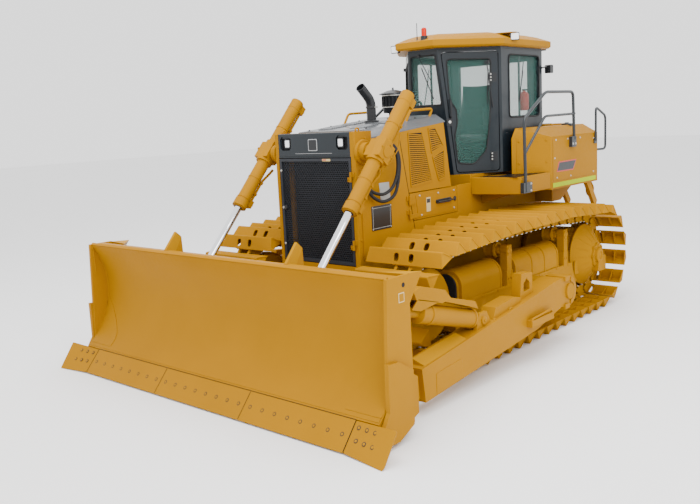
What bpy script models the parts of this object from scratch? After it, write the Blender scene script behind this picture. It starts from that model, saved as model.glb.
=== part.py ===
"""Wide-track crawler bulldozer with a straight-tilt blade, built as separate jointed pieces.

Units are metres and +Z is up. The machine faces -Y and its left side is +X.
The origin is on the ground under the middle of the machine's bounding box.
"""

from math import atan2, cos, hypot, pi, radians, sin

import bmesh
import bpy
from mathutils import Matrix, Vector

# ---------------------------------------------------------------- clearances
SEAT = 0.0003           # gap where one piece rests on another
GLASS_GAP = 0.001       # gap between a pane and its frame
DOOR_GAP = 0.008        # gap round a door or panel that opens
PIN_GAP = 0.0008        # running gap of a pivot
RUN_GAP = 0.012         # gap between pieces that pass each other

# ---------------------------------------------------------------- undercarriage
TRACK_GAUGE = 2.25          # between the centres of the two tracks
SHOE_WIDTH = 0.91
SHOE_COUNT = 44             # shoes in one track
SHOE_HEIGHT = 0.115         # height of a shoe's ridge over its base
SHOE_CREST = 0.024          # flat along the top of a shoe's ridge
SHOE_FILL = 0.93            # share of the pitch that a shoe's base covers
WHEELBASE = 3.32            # idler centre to sprocket centre
IDLER_Y = -1.10
PITCH_RADIUS = 0.455        # radius of the line of link pins round a wheel
LINK_OUT = 0.085            # link pins to the base of a shoe
LINK_IN = 0.070             # link pins to the inner edge of the chain
CHAIN_WIDTH = 0.24
CARRIER_LIFT = 0.058        # how far the carrier rollers raise the top run
REAR_BAR_AHEAD = 0.76       # from the sprocket's centre forward to the rear cross bar
CARRIER_FRONT = 1.38        # front carrier roller behind the idler
CARRIER_REAR = 0.59         # rear carrier roller ahead of the sprocket
FIRST_SHOE = 0.25           # place of the first shoe, in pitches from under the idler
CARRIER_RADIUS = 0.085
ROLLER_RADIUS = 0.11
ROLLER_COUNT = 7
ROLLER_WIDTH = 0.26
BEAM_WIDTH = 0.34           # track frame beam across
BEAM_LOW = 0.34
BEAM_HIGH = 0.62
COVER_HIGH = 0.93           # top of the round spring cover
POST_WIDTH = 0.10
IDLER_WIDTH = 0.16
SPROCKET_WIDTH = 0.10
SPROCKET_TEETH = 13
FINAL_DRIVE_RADIUS = 0.40
FINAL_DRIVE_PROUD = 0.305   # outer face of the final drive, outside the middle of its track

# ---------------------------------------------------------------- hull and engine bay
HULL_HALF = 0.50
HULL_LOW = 0.45
HULL_FRONT = -1.05
HULL_REAR = 2.55
PAN_HIGH = 0.92
CASE_HIGH = 1.30
BODY_HALF = 0.56            # half width over the hood sides
SHEET = 0.030               # thickness of hood and door panels
GUARD_FRONT = -1.36
GUARD_HALF = 0.56
GUARD_LOW = 0.78
GUARD_TOP = 2.37
GUARD_WALL = 0.05
GRILLE_HALF = 0.50
GRILLE_LOW = 1.04
GRILLE_TOP = 2.115
GRILLE_THICK = 0.045
HOOD_FRONT = -1.10
HOOD_REAR = 0.20
HOOD_FRONT_TOP = 2.38
HOOD_REAR_TOP = 2.50
HOOD_DROP = 0.075           # height of the slanted edge along the hood
HOOD_CHAMFER = 0.12         # width of that slanted edge
HOOD_LIP = 0.012            # upright lip under that slanted edge
GRILLE_HINGES = (1.20, 1.88)
SIDE_HINGES = (1.41, 1.56)
SEAM_TOP = (-0.655, 2.33)   # slanted seam between the guard's side and the hood's side
SEAM_LOW = (-0.424, 1.28)
SIDE_SPLIT = 1.69           # vent panel above, side door below
SIDE_LOW = 1.39             # foot of the side doors, above the tracks
SIDE_REAR_TOP = (0.172, 2.404)
SIDE_REAR_LOW = (0.289, 1.71)
SIDE_DOOR_REAR = 0.40
SILL_REAR = 0.70
CASE_FRONT = 0.72           # front of the gear case and of the base under the cab

# ---------------------------------------------------------------- exhaust and air intake
EXHAUST_Y = -0.40
EXHAUST_RADIUS = 0.052
EXHAUST_BEND = 2.68
EXHAUST_TIP = 2.83
INTAKE_Y = 0.0
INTAKE_RADIUS = 0.125
STACK_PAD = 0.012           # flat pad on the sloping hood under each stack

# ---------------------------------------------------------------- cab
CAB_FLOOR = 1.78
CAB_TOP = 3.235
CAB_NOSE_HALF = 0.21        # half width of the front at the roof
CAB_FRONT = 0.59
CAB_HALF = 0.70
CAB_SHOULDER = 1.20         # where the slanted door side meets the straight side
CAB_REAR = 2.21
SIDE_WINDOW_Y = (1.28, 2.02)
SIDE_WINDOW_Z = (2.30, 3.09)
SIDE_WINDOW_CUT = 0.04      # corner cuts of the side window
SIDE_WINDOW_STEP = 0.05     # how far its upper corner cuts run down
REAR_WINDOW_HALF = 0.52
REAR_WINDOW = (2.35, 3.08)
CAB_NOSE_LEAN = 0.165       # how far the front corners move back down to the floor
CAB_WALL = 0.06
DOOR_LOW = 1.81
DOOR_HIGH = 3.13
DOOR_FRONT_POST = 0.065
DOOR_REAR_POST = 0.05
GLASS = 0.008
CAB_HINGES = (1.95, 2.88)
ROOF_LOW = 3.26
ROOF_EDGE = 3.345
ROOF_TOP = 3.43
ROOF_OVERHANG = 0.08
ROOF_FRONT = 0.43
ROOF_REAR = 2.40
BEACON = (0.10, 0.50)
BEACON_TOP = 3.50
AERIAL_TOP = 3.56
AERIAL_RADIUS = 0.005

# ---------------------------------------------------------------- decks, tanks and rails
DECK_OUT = 1.12
DECK_LOW = 1.55
DECK_HIGH = 1.745
DECK_FRONT_OUT = 0.86
BOX_FRONT_IN = 1.27
BOX_FRONT_OUT = 1.625
BOX_REAR = 2.93
BOX_LOW = 1.53
BOX_HIGH = 2.19
BOX_SHOULDER = 0.10
BOX_CAB_GAP = 0.08          # side tanks outside the cab's walls
TANK_FRONT = 2.30
TANK_HIGH = 2.31
RAIL_RADIUS = 0.019
LEG_IN = 0.70               # inner pair of legs under the rear tank
LEG_TOP_Y = 2.66
LEG_FOOT_Y = 2.93
LEG_FOOT_Z = 1.22

# ---------------------------------------------------------------- blade and its linkage
BLADE_PROUD = 0.173         # end plates outside the push arms
BLADE_TOP = 1.307
BLADE_TOP_Y = -2.77
BLADE_MID_Y = -2.615
EDGE_TOP_Y = -2.92
EDGE_TOP_Z = 0.223
EDGE_TIP_Y = -3.10
EDGE_TIP_Z = 0.015
BLADE_PLATE = 0.028
EDGE_PLATE = 0.032
EDGE_DROP = 0.004           # joint between the moldboard's foot and the cutting edge
END_BIT_PROUD = 0.187       # outer corner of the end bits outside the end plates
END_BIT_Y = -3.157
REAR_END = -END_BIT_Y       # rearmost point, so that the origin stays under the middle
END_BIT_TOP = (-2.981, 0.25)
END_BIT_LIFT = 0.001
END_PLATE = 0.030
END_BIT_IN = 0.241          # inner end of the end bits inside the end plates
ARM_GAP = 0.05              # push arms outside the shoes
ARM_WIDTH = 0.23
PIVOT_Y = 0.55
PIVOT_Z = 0.56
ARM_PIN = (-2.26, 0.215)
TRUNNION_RADIUS = 0.085
ARM_TOP_FRONT = (-2.15, 0.42)
ARM_TOP_KNEE = (-0.56, 0.617)
NOSE_WIDTH = 0.12           # push arm's nose between the blade's lugs
LIFT_X = 0.775
LIFT_PIVOT = (-1.248, 2.167)
LIFT_EYE = (-2.45, 0.84)
BARREL_RADIUS = 0.070
BARREL_BACK = 0.733         # barrel pivot to its closed end
BARREL_AHEAD = 0.718        # barrel pivot to its gland
ROD_RADIUS = 0.037
EYE_RADIUS = 0.070
EYE_WIDTH = 0.085
STRUT_REAR = (-1.12, 0.604)
STRUT_FRONT = (-2.34, 0.945)
TILT_RADIUS = 0.088
BRACE_RADIUS = 0.060
LUG = 0.032                 # thickness of the lug plates

HINGE_OUT = 0.018           # hinge axis outside the face of its door
HINGE_RADIUS = 0.014
KNUCKLE = 0.05
HINGE_LEAF = 0.038

PAINT = (0.84, 0.36, 0.005)
FRAME_GREY = (0.030, 0.038, 0.050)
HOOD_GREY = (0.085, 0.090, 0.098)
BLACK = (0.012, 0.012, 0.013)
CHROME = (0.72, 0.72, 0.72)
GLASS_TINT = (0.03, 0.09, 0.09)
TRIM = (0.05, 0.05, 0.05)
SIDES = (("left", 1), ("right", -1))

# ---------------------------------------------------------------- places that follow from the sizes
TRACK_X = TRACK_GAUGE / 2
WHEEL_Z = SHOE_HEIGHT + LINK_OUT + PITCH_RADIUS
SPROCKET_Y = IDLER_Y + WHEELBASE
CARRIER_YS = (IDLER_Y + CARRIER_FRONT, SPROCKET_Y - CARRIER_REAR)
FINAL_DRIVE_OUT = TRACK_X + FINAL_DRIVE_PROUD
BOX_IN = CAB_HALF + BOX_CAB_GAP
ARM_IN = TRACK_X + SHOE_WIDTH / 2 + ARM_GAP
ARM_OUT = ARM_IN + ARM_WIDTH
ARM_X = (ARM_IN + ARM_OUT) / 2
STRUT_X = ARM_X
BLADE_HALF = ARM_OUT + BLADE_PROUD
END_BIT_OUT = BLADE_HALF + END_BIT_PROUD
END_EDGE_X = BLADE_HALF - END_BIT_IN


# ================================================================ modelling helpers
def clear_scene():
    """Remove every object of the scene."""
    for item in list(bpy.data.objects):
        bpy.data.objects.remove(item, do_unlink=True)


def material(name, colour, roughness, metallic=0.0):
    """A plain material, made once under its name."""
    found = bpy.data.materials.get(name)
    if found:
        return found
    made = bpy.data.materials.new(name)
    made.use_nodes = True
    shader = made.node_tree.nodes["Principled BSDF"]
    shader.inputs["Base Color"].default_value = (*colour, 1.0)
    shader.inputs["Roughness"].default_value = roughness
    shader.inputs["Metallic"].default_value = metallic
    return made


def finish(name, mesh, look):
    """Put a mesh in the scene as one named object with its own material."""
    item = bpy.data.objects.new(name, mesh)
    bpy.context.scene.collection.objects.link(item)
    mesh.name = name
    mesh.materials.clear()
    mesh.materials.append(look)
    mesh.shade_smooth()
    mesh.set_sharp_from_angle(angle=radians(35))
    return item


def mesh_from(bm):
    """A mesh from a finished bmesh, its faces turned outward."""
    bmesh.ops.recalc_face_normals(bm, faces=bm.faces)
    mesh = bpy.data.meshes.new("shape")
    bm.to_mesh(mesh)
    bm.free()
    return mesh


def loft(rings):
    """Close a run of rings, each a list of points, into one solid."""
    bm = bmesh.new()
    rows = [[bm.verts.new(point) for point in ring] for ring in rings]
    for row, following in zip(rows, rows[1:]):
        count = len(row)
        for i in range(count):
            j = (i + 1) % count
            bm.faces.new((row[i], row[j], following[j], following[i]))
    bm.faces.new(rows[0])
    bm.faces.new(rows[-1])
    return mesh_from(bm)


def place(axis, level, u, v):
    """A point of an outline: YZ across X, XZ across Y, or XY across Z."""
    return {"X": (level, u, v), "Y": (u, level, v), "Z": (u, v, level)}[axis]


def slab(axis, low, high, outline):
    """An outline drawn across an axis, made solid between two levels on it."""
    return loft([[place(axis, level, u, v) for u, v in outline] for level in (low, high)])


def box(low, high):
    """A box between two corners."""
    corners = ((low[0], low[1]), (high[0], low[1]), (high[0], high[1]), (low[0], high[1]))
    return slab("Z", low[2], high[2], corners)


def arc(centre, radius, start, end, count):
    """Points on an arc, its angles in degrees, both ends included."""
    steps = [radians(start + (end - start) * i / (count - 1)) for i in range(count)]
    return [(centre[0] + radius * cos(a), centre[1] + radius * sin(a)) for a in steps]


def circle(centre, radius, count=24):
    """Points of a full circle."""
    return arc(centre, radius, 0, 360 - 360 / count, count)


def frame_along(start, end):
    """Two unit vectors square to the run from start to end."""
    run = (Vector(end) - Vector(start)).normalized()
    helper = Vector((0, 0, 1)) if abs(run.z) < 0.9 else Vector((1, 0, 0))
    side = run.cross(helper).normalized()
    return side, side.cross(run).normalized()


def turned(start, end, profile, count=24):
    """Turn a profile of (distance along the run, radius) pairs about that run."""
    side, up = frame_along(start, end)
    start = Vector(start)
    run = (Vector(end) - start).normalized()
    rings = []
    for distance, radius in profile:
        centre = start + run * distance
        angles = [2 * pi * i / count for i in range(count)]
        rings.append([centre + side * radius * cos(a) + up * radius * sin(a) for a in angles])
    return loft(rings)


def rod(start, end, radius, count=24):
    """A round bar from start to end."""
    length = (Vector(end) - Vector(start)).length
    return turned(start, end, ((0, radius), (length, radius)), count)


def bar(start, end, width, height):
    """A box beam from start to end; its width lies level where it can."""
    side, up = frame_along(start, end)
    side, up = side * width / 2, up * height / 2
    ring = [side + up, up - side, -side - up, side - up]
    return loft([[Vector(point) + offset for offset in ring] for point in (start, end)])


def combined(base, joins=(), cuts=()):
    """Join and cut meshes with exact booleans and return the resulting mesh."""
    body = bpy.data.objects.new("body", base)
    bpy.context.scene.collection.objects.link(body)
    helpers = []
    for operation, shapes in (("UNION", joins), ("DIFFERENCE", cuts)):
        for shape in shapes:
            tool = bpy.data.objects.new("tool", shape)
            bpy.context.scene.collection.objects.link(tool)
            helpers.append(tool)
            step = body.modifiers.new("step", "BOOLEAN")
            step.operation = operation
            step.solver = "EXACT"
            step.object = tool
    graph = bpy.context.evaluated_depsgraph_get()
    result = bpy.data.meshes.new_from_object(body.evaluated_get(graph))
    for item in (*helpers, body):
        bpy.data.objects.remove(item, do_unlink=True)
    return tidy(result)


def tidy(mesh):
    """Weld the slivers that a boolean leaves."""
    bm = bmesh.new()
    bm.from_mesh(mesh)
    bmesh.ops.remove_doubles(bm, verts=bm.verts, dist=0.00005)
    bmesh.ops.dissolve_degenerate(bm, edges=bm.edges, dist=0.00002)
    bmesh.ops.dissolve_limit(bm, angle_limit=radians(0.05), verts=bm.verts, edges=bm.edges)
    bmesh.ops.triangulate(bm, faces=bm.faces)
    bm.to_mesh(mesh)
    bm.free()
    return mesh


def mirrored(mesh):
    copy = mesh.copy()
    copy.transform(Matrix.Scale(-1, 4, (1, 0, 0)))
    copy.flip_normals()
    return copy


def pair(name, mesh, look):
    """Put a left piece and its mirror image in the scene."""
    return [
        finish(f"{name}_left", mesh, look),
        finish(f"{name}_right", mirrored(mesh), look),
    ]


def piped(points, radius, corner=0.06, sides=10):
    """A bent round tube through points, with rounded corners and flat ends."""
    points = [Vector(point) for point in points]
    path = [points[0]]
    for before, here, after in zip(points, points[1:], points[2:]):
        start = here + (before - here).normalized() * corner
        end = here + (after - here).normalized() * corner
        for i in range(5):
            t = i / 4
            path.append(start * (1 - t) ** 2 + here * 2 * t * (1 - t) + end * t * t)
    path.append(points[-1])
    plane = (path[1] - path[0]).normalized()
    side, up = frame_along(path[0], path[1])
    rings = []
    for i, point in enumerate(path):
        ahead = (path[min(i + 1, len(path) - 1)] - path[max(i - 1, 0)]).normalized()
        turn = plane.rotation_difference(ahead)
        side.rotate(turn)
        up.rotate(turn)
        plane = ahead
        angles = [2 * pi * k / sides for k in range(sides)]
        rings.append([point + side * radius * cos(a) + up * radius * sin(a) for a in angles])
    return loft(rings)


def hinge_pieces(axis, levels, along, out):
    """Knuckles and leaves of a vertical hinge, first those of the door, then the frame's.

    along points from the axis to the door and out points away from the face.
    """
    along, out = Vector((*along, 0)), Vector((*out, 0))
    spot = Vector((*axis, 0))
    sets = ([], [])
    for z in levels:
        for side, pieces in zip((1, -1), sets):
            low = z if side > 0 else z + KNUCKLE + SEAT
            foot = spot + Vector((0, 0, low))
            pieces.append(rod(foot, foot + Vector((0, 0, KNUCKLE)), HINGE_RADIUS, 12))
            near, far = -HINGE_OUT - 0.003, -HINGE_RADIUS / 2
            leaf = [spot, spot + along * side * HINGE_LEAF]
            rings = []
            for level in (low + 0.002, low + KNUCKLE - 0.002):
                rings.append([leaf[0] + out * near, leaf[1] + out * near,
                              leaf[1] + out * far, leaf[0] + out * far])
                rings[-1] = [point + Vector((0, 0, level)) for point in rings[-1]]
            pieces.append(loft(rings))
    return sets


def pivoted(item, point):
    """Move an object's origin to a point on its joint's axis."""
    offset = Vector(point)
    item.data.transform(Matrix.Translation(-offset))
    item.location = offset
    return item


# ================================================================ undercarriage
def pin_line():
    """The closed line of link pins as points and headings, one point for each shoe."""
    top = WHEEL_Z + PITCH_RADIUS + CARRIER_LIFT
    front_top = CARRIER_YS[0] - 0.25
    rear_top = CARRIER_YS[1] - 0.35
    rise_front = atan2(CARRIER_LIFT, front_top - IDLER_Y)
    rise_rear = atan2(CARRIER_LIFT, SPROCKET_Y - rear_top)
    low = WHEEL_Z - PITCH_RADIUS
    corners = [(IDLER_Y, low), (SPROCKET_Y, low)]
    rear = arc((SPROCKET_Y, WHEEL_Z), PITCH_RADIUS, -90, 90 - rise_rear * 180 / pi, 40)
    front = arc((IDLER_Y, WHEEL_Z), PITCH_RADIUS, 90 + rise_front * 180 / pi, 270, 40)
    line = [corners[0]] + rear + [(rear_top, top), (front_top, top)] + front[:-1]
    lengths = [0.0]
    for here, following in zip(line, line[1:] + line[:1]):
        lengths.append(lengths[-1] + hypot(following[0] - here[0], following[1] - here[1]))
    pitch = lengths[-1] / SHOE_COUNT
    points = []
    headings = []
    closed = line + line[:1]
    for i in range(SHOE_COUNT):
        target = pitch * (i + FIRST_SHOE)
        k = max(j for j in range(len(line)) if lengths[j] <= target)
        share = (target - lengths[k]) / (lengths[k + 1] - lengths[k])
        here, following = closed[k], closed[k + 1]
        y = here[0] + (following[0] - here[0]) * share
        z = here[1] + (following[1] - here[1]) * share
        points.append((y, z))
        headings.append(atan2(following[1] - here[1], following[0] - here[0]))
    return points, headings, pitch


def wrap_radius():
    """Largest wheel that fits inside the flats of the chain where it turns."""
    pitch = pin_line()[2]
    half_step = pitch / (2 * PITCH_RADIUS)
    return (PITCH_RADIUS - LINK_IN) * cos(half_step) - 3 * SEAT


def beside(point, heading, along, out):
    """A point placed along the track and outward from the line of link pins."""
    y = point[0] + along * cos(heading) + out * sin(heading)
    z = point[1] + along * sin(heading) - out * cos(heading)
    return y, z


def shoe_prism(point, heading, pitch):
    """A hollow-backed ridge shoe shown as its outer triangular shape."""
    half = pitch * SHOE_FILL / 2
    crest = LINK_OUT + SHOE_HEIGHT
    outline = ((-half, LINK_OUT), (-SHOE_CREST / 2, crest), (SHOE_CREST / 2, crest), (half, LINK_OUT))
    return [beside(point, heading, along, out) for along, out in outline]


def build_tracks():
    """Both chains: one closed loop of links with a ridge shoe at each pitch."""
    points, headings, pitch = pin_line()
    low, high = TRACK_X - CHAIN_WIDTH / 2, TRACK_X + CHAIN_WIDTH / 2
    outer = [beside(p, h, 0, LINK_OUT + 0.012) for p, h in zip(points, headings)]
    inner = [beside(p, h, 0, -LINK_IN) for p, h in zip(points, headings)]
    bm = bmesh.new()
    rows = []
    for x in (low, high):
        for ring in (outer, inner):
            rows.append([bm.verts.new((x, y, z)) for y, z in ring])
    for a, b in ((0, 1), (2, 3), (0, 2), (1, 3)):
        for i in range(SHOE_COUNT):
            j = (i + 1) % SHOE_COUNT
            bm.faces.new((rows[a][i], rows[a][j], rows[b][j], rows[b][i]))
    chain = mesh_from(bm)
    shoes = bmesh.new()
    for point, heading in zip(points, headings):
        outline = shoe_prism(point, heading, pitch)
        ends = []
        for x in (TRACK_X - SHOE_WIDTH / 2, TRACK_X + SHOE_WIDTH / 2):
            ends.append([shoes.verts.new((x, y, z)) for y, z in outline])
        count = len(outline)
        for i in range(count):
            j = (i + 1) % count
            shoes.faces.new((ends[0][i], ends[0][j], ends[1][j], ends[1][i]))
        shoes.faces.new(ends[0])
        shoes.faces.new(ends[1])
    look = material("track paint", PAINT, 0.5)
    pair("track", combined(chain, joins=[mesh_from(shoes)]), look)


def build_track_frames():
    """Beam, spring cover, carrier posts, rollers and the blade trunnion as one piece."""
    low, high = TRACK_X - BEAM_WIDTH / 2, TRACK_X + BEAM_WIDTH / 2
    front, rear = IDLER_Y + 0.42, SPROCKET_Y + 0.27
    beam = slab("X", low, high, [
        (front, BEAM_LOW), (rear - 0.75, BEAM_LOW), (rear, BEAM_LOW + 0.10),
        (rear, BEAM_HIGH), (front, BEAM_HIGH),
    ])
    joins = []
    cover_half = BEAM_WIDTH / 2 - 0.01
    for start, end in ((front + 0.02, CARRIER_YS[0] - 0.16), (CARRIER_YS[0] + 0.14, SPROCKET_Y - 0.76)):
        crown = arc((TRACK_X, COVER_HIGH - cover_half), cover_half, 0, 180, 11)
        outline = [(TRACK_X + cover_half, BEAM_HIGH - 0.05), *crown,
                   (TRACK_X - cover_half, BEAM_HIGH - 0.05)]
        joins.append(slab("Y", start, end, outline))
    yoke_half = IDLER_WIDTH / 2 + 0.03
    for sign in (-1, 1):
        inner = TRACK_X + sign * yoke_half
        outer = inner + sign * 0.05
        joins.append(slab("X", min(inner, outer), max(inner, outer), [
            (IDLER_Y - 0.12, WHEEL_Z - 0.09), (front + 0.10, BEAM_LOW + 0.06),
            (front + 0.10, BEAM_HIGH - 0.02), (IDLER_Y - 0.12, WHEEL_Z + 0.09),
        ]))
    top_in = WHEEL_Z + PITCH_RADIUS + CARRIER_LIFT - LINK_IN
    for y in CARRIER_YS:
        drop = 0.012 if y > 1 else 0.0
        axis_z = top_in - CARRIER_RADIUS - RUN_GAP - drop
        out = TRACK_X + BEAM_WIDTH / 2
        joins.append(slab("X", out - 0.09, out, [
            (y - POST_WIDTH / 2, BEAM_HIGH - 0.06), (y + POST_WIDTH / 2, BEAM_HIGH - 0.06),
            (y + POST_WIDTH / 2, axis_z + 0.06), (y - POST_WIDTH / 2, axis_z + 0.06),
        ]))
        joins.append(rod((TRACK_X - 0.12, y, axis_z), (out - 0.04, y, axis_z), 0.045, 16))
        joins.append(rod((TRACK_X - 0.11, y, axis_z), (TRACK_X + 0.03, y, axis_z), CARRIER_RADIUS, 20))
    span = (SPROCKET_Y - 0.42) - (IDLER_Y + 0.42)
    roller_z = WHEEL_Z - PITCH_RADIUS + LINK_IN + ROLLER_RADIUS + RUN_GAP / 2
    for i in range(ROLLER_COUNT):
        y = IDLER_Y + 0.50 + (span - 0.16) * i / (ROLLER_COUNT - 1)
        joins.append(rod((TRACK_X - ROLLER_WIDTH / 2, y, roller_z),
                         (TRACK_X + ROLLER_WIDTH / 2, y, roller_z), ROLLER_RADIUS, 12))
    step_at = ARM_IN - RUN_GAP - 0.10 - TRACK_X
    joins.append(turned((TRACK_X + 0.10, PIVOT_Y, PIVOT_Z), (ARM_OUT + 0.02, PIVOT_Y, PIVOT_Z), (
        (0, 0.13), (step_at, 0.13), (step_at, TRUNNION_RADIUS),
        (ARM_OUT + 0.02 - 0.10 - TRACK_X, TRUNNION_RADIUS),
    ), 48))
    look = material("undercarriage paint", PAINT, 0.5)
    cuts = [slab("X", TRACK_X - IDLER_WIDTH / 2 - RUN_GAP, TRACK_X + IDLER_WIDTH / 2 + RUN_GAP,
                 circle((IDLER_Y, WHEEL_Z), PITCH_RADIUS - LINK_IN + 0.005, 40))]
    drive = [turned((TRACK_X - 0.3, SPROCKET_Y, WHEEL_Z), (TRACK_X + 0.4, SPROCKET_Y, WHEEL_Z),
                    ((0, FINAL_DRIVE_RADIUS + RUN_GAP), (0.7, FINAL_DRIVE_RADIUS + RUN_GAP)), 40)]
    pair("track_frame", combined(beam, joins, cuts + drive), look)
    return roller_z


def build_wheels():
    """Idlers and sprockets, each turned about its own axle."""
    look = material("wheel paint", PAINT, 0.5)
    rim = wrap_radius()
    half = IDLER_WIDTH / 2
    profile = ((0, 0.10), (0.0, rim - 0.03), (0.03, rim), (IDLER_WIDTH - 0.03, rim),
               (IDLER_WIDTH, rim - 0.03), (IDLER_WIDTH, 0.10))
    wheel = turned((TRACK_X - half, IDLER_Y, WHEEL_Z), (TRACK_X + half, IDLER_Y, WHEEL_Z),
                   profile, 28)
    reach = half + 0.03 - SEAT
    hub = rod((TRACK_X - reach, IDLER_Y, WHEEL_Z), (TRACK_X + reach, IDLER_Y, WHEEL_Z), 0.075, 20)
    pair("idler", combined(wheel, joins=[hub]), look)
    teeth = []
    for i in range(SPROCKET_TEETH):
        middle = 360 * i / SPROCKET_TEETH
        step = 360 / SPROCKET_TEETH
        for offset, radius in ((-0.30, -0.055), (-0.12, 0.0), (0.12, 0.0), (0.30, -0.055)):
            a = radians(middle + offset * step)
            reach = rim + radius
            teeth.append((SPROCKET_Y + reach * cos(a), WHEEL_Z + reach * sin(a)))
    disc = slab("X", TRACK_X - SPROCKET_WIDTH / 2, TRACK_X + SPROCKET_WIDTH / 2, teeth)
    inner, outer = HULL_HALF + SEAT, FINAL_DRIVE_OUT
    case = turned((inner, SPROCKET_Y, WHEEL_Z), (outer, SPROCKET_Y, WHEEL_Z), (
        (0, 0.27), (0.10, 0.34), (TRACK_X - inner - 0.06, 0.34), (TRACK_X - inner + 0.04, 0.33),
        (TRACK_X - inner + 0.14, 0.30), (outer - inner - 0.02, 0.17), (outer - inner, 0.15),
    ), 24)
    pair("sprocket", combined(disc, joins=[case]), look)


# ================================================================ hull, engine and guard
def side_sill():
    """Fixed panel round the foot of the left side door, with its foot on the hull."""
    sill_front = SEAM_LOW[0] + SEAT
    sill = slab("X", BODY_HALF - SHEET, BODY_HALF, [
        (sill_front, PAN_HIGH), (SILL_REAR, PAN_HIGH), (SILL_REAR, SIDE_SPLIT - SEAT),
        (SIDE_DOOR_REAR + DOOR_GAP, SIDE_SPLIT - SEAT), (SIDE_DOOR_REAR + DOOR_GAP, SIDE_LOW - DOOR_GAP),
        (seam_y(SIDE_LOW) + DOOR_GAP, SIDE_LOW - DOOR_GAP), (sill_front, SEAM_LOW[1]),
    ])
    foot = box((HULL_HALF - 0.12, sill_front + 0.05, PAN_HIGH - 0.05),
               (BODY_HALF - 0.005, CASE_FRONT - 0.02, PAN_HIGH + 0.05))
    return combined(sill, joins=[foot])


def build_hull():
    """Belly pan, rear case, cross bars and the axles, as one frame."""
    pan = box((-HULL_HALF, HULL_FRONT, HULL_LOW), (HULL_HALF, HULL_REAR, PAN_HIGH))
    joins = [
        box((-HULL_HALF, CASE_FRONT - 0.01, PAN_HIGH - 0.1), (HULL_HALF, HULL_REAR, CASE_HIGH)),
        box((-BODY_HALF + 0.02, CASE_FRONT, CASE_HIGH - 0.05),
            (BODY_HALF - 0.02, TANK_FRONT - SEAT, CAB_FLOOR - SEAT)),
        box((-0.34, HULL_REAR - 0.2, 0.62), (0.34, HULL_REAR + 0.16, 1.10)),
    ]
    link_in = TRACK_X - BEAM_WIDTH / 2 - SEAT
    joins.append(bar((-link_in, -0.35, 0.55), (link_in, -0.35, 0.55), 0.16, 0.11))
    rear_bar_y = SPROCKET_Y - REAR_BAR_AHEAD
    joins.append(rod((-link_in, rear_bar_y, 0.56), (link_in, rear_bar_y, 0.56), 0.085, 20))
    sill = side_sill()
    joins += [sill, mirrored(sill)]
    look = material("hull paint", PAINT, 0.5)
    finish("main_frame", combined(pan, joins), look)
    engine = box((-0.34, -0.78, PAN_HIGH + SEAT), (0.34, 0.44, 1.92))
    core = box((-0.46, -1.17, 1.00), (0.46, -1.03, 2.10))
    shroud = box((-0.28, -1.04, 1.20), (0.28, -0.77, 1.76))
    foot = box((-0.30, -1.16, PAN_HIGH + SEAT), (0.30, -1.05, 1.05))
    finish("engine", combined(engine, joins=[core, shroud, foot]), material("engine grey", TRIM, 0.6))


def seam_y(z):
    """Where the slanted seam between guard and hood sides lies at a height."""
    share = (z - SEAM_LOW[1]) / (SEAM_TOP[1] - SEAM_LOW[1])
    return SEAM_LOW[0] + (SEAM_TOP[0] - SEAM_LOW[0]) * share


def grille_hinge():
    """Place of the grille door's hinge line, as (x, y)."""
    return GRILLE_HALF + DOOR_GAP / 2, GUARD_FRONT - HINGE_OUT


def side_door_hinge():
    """Place of the left side door's hinge line, as (x, y)."""
    return BODY_HALF + HINGE_OUT, seam_y(SIDE_SPLIT) - 0.01


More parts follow.
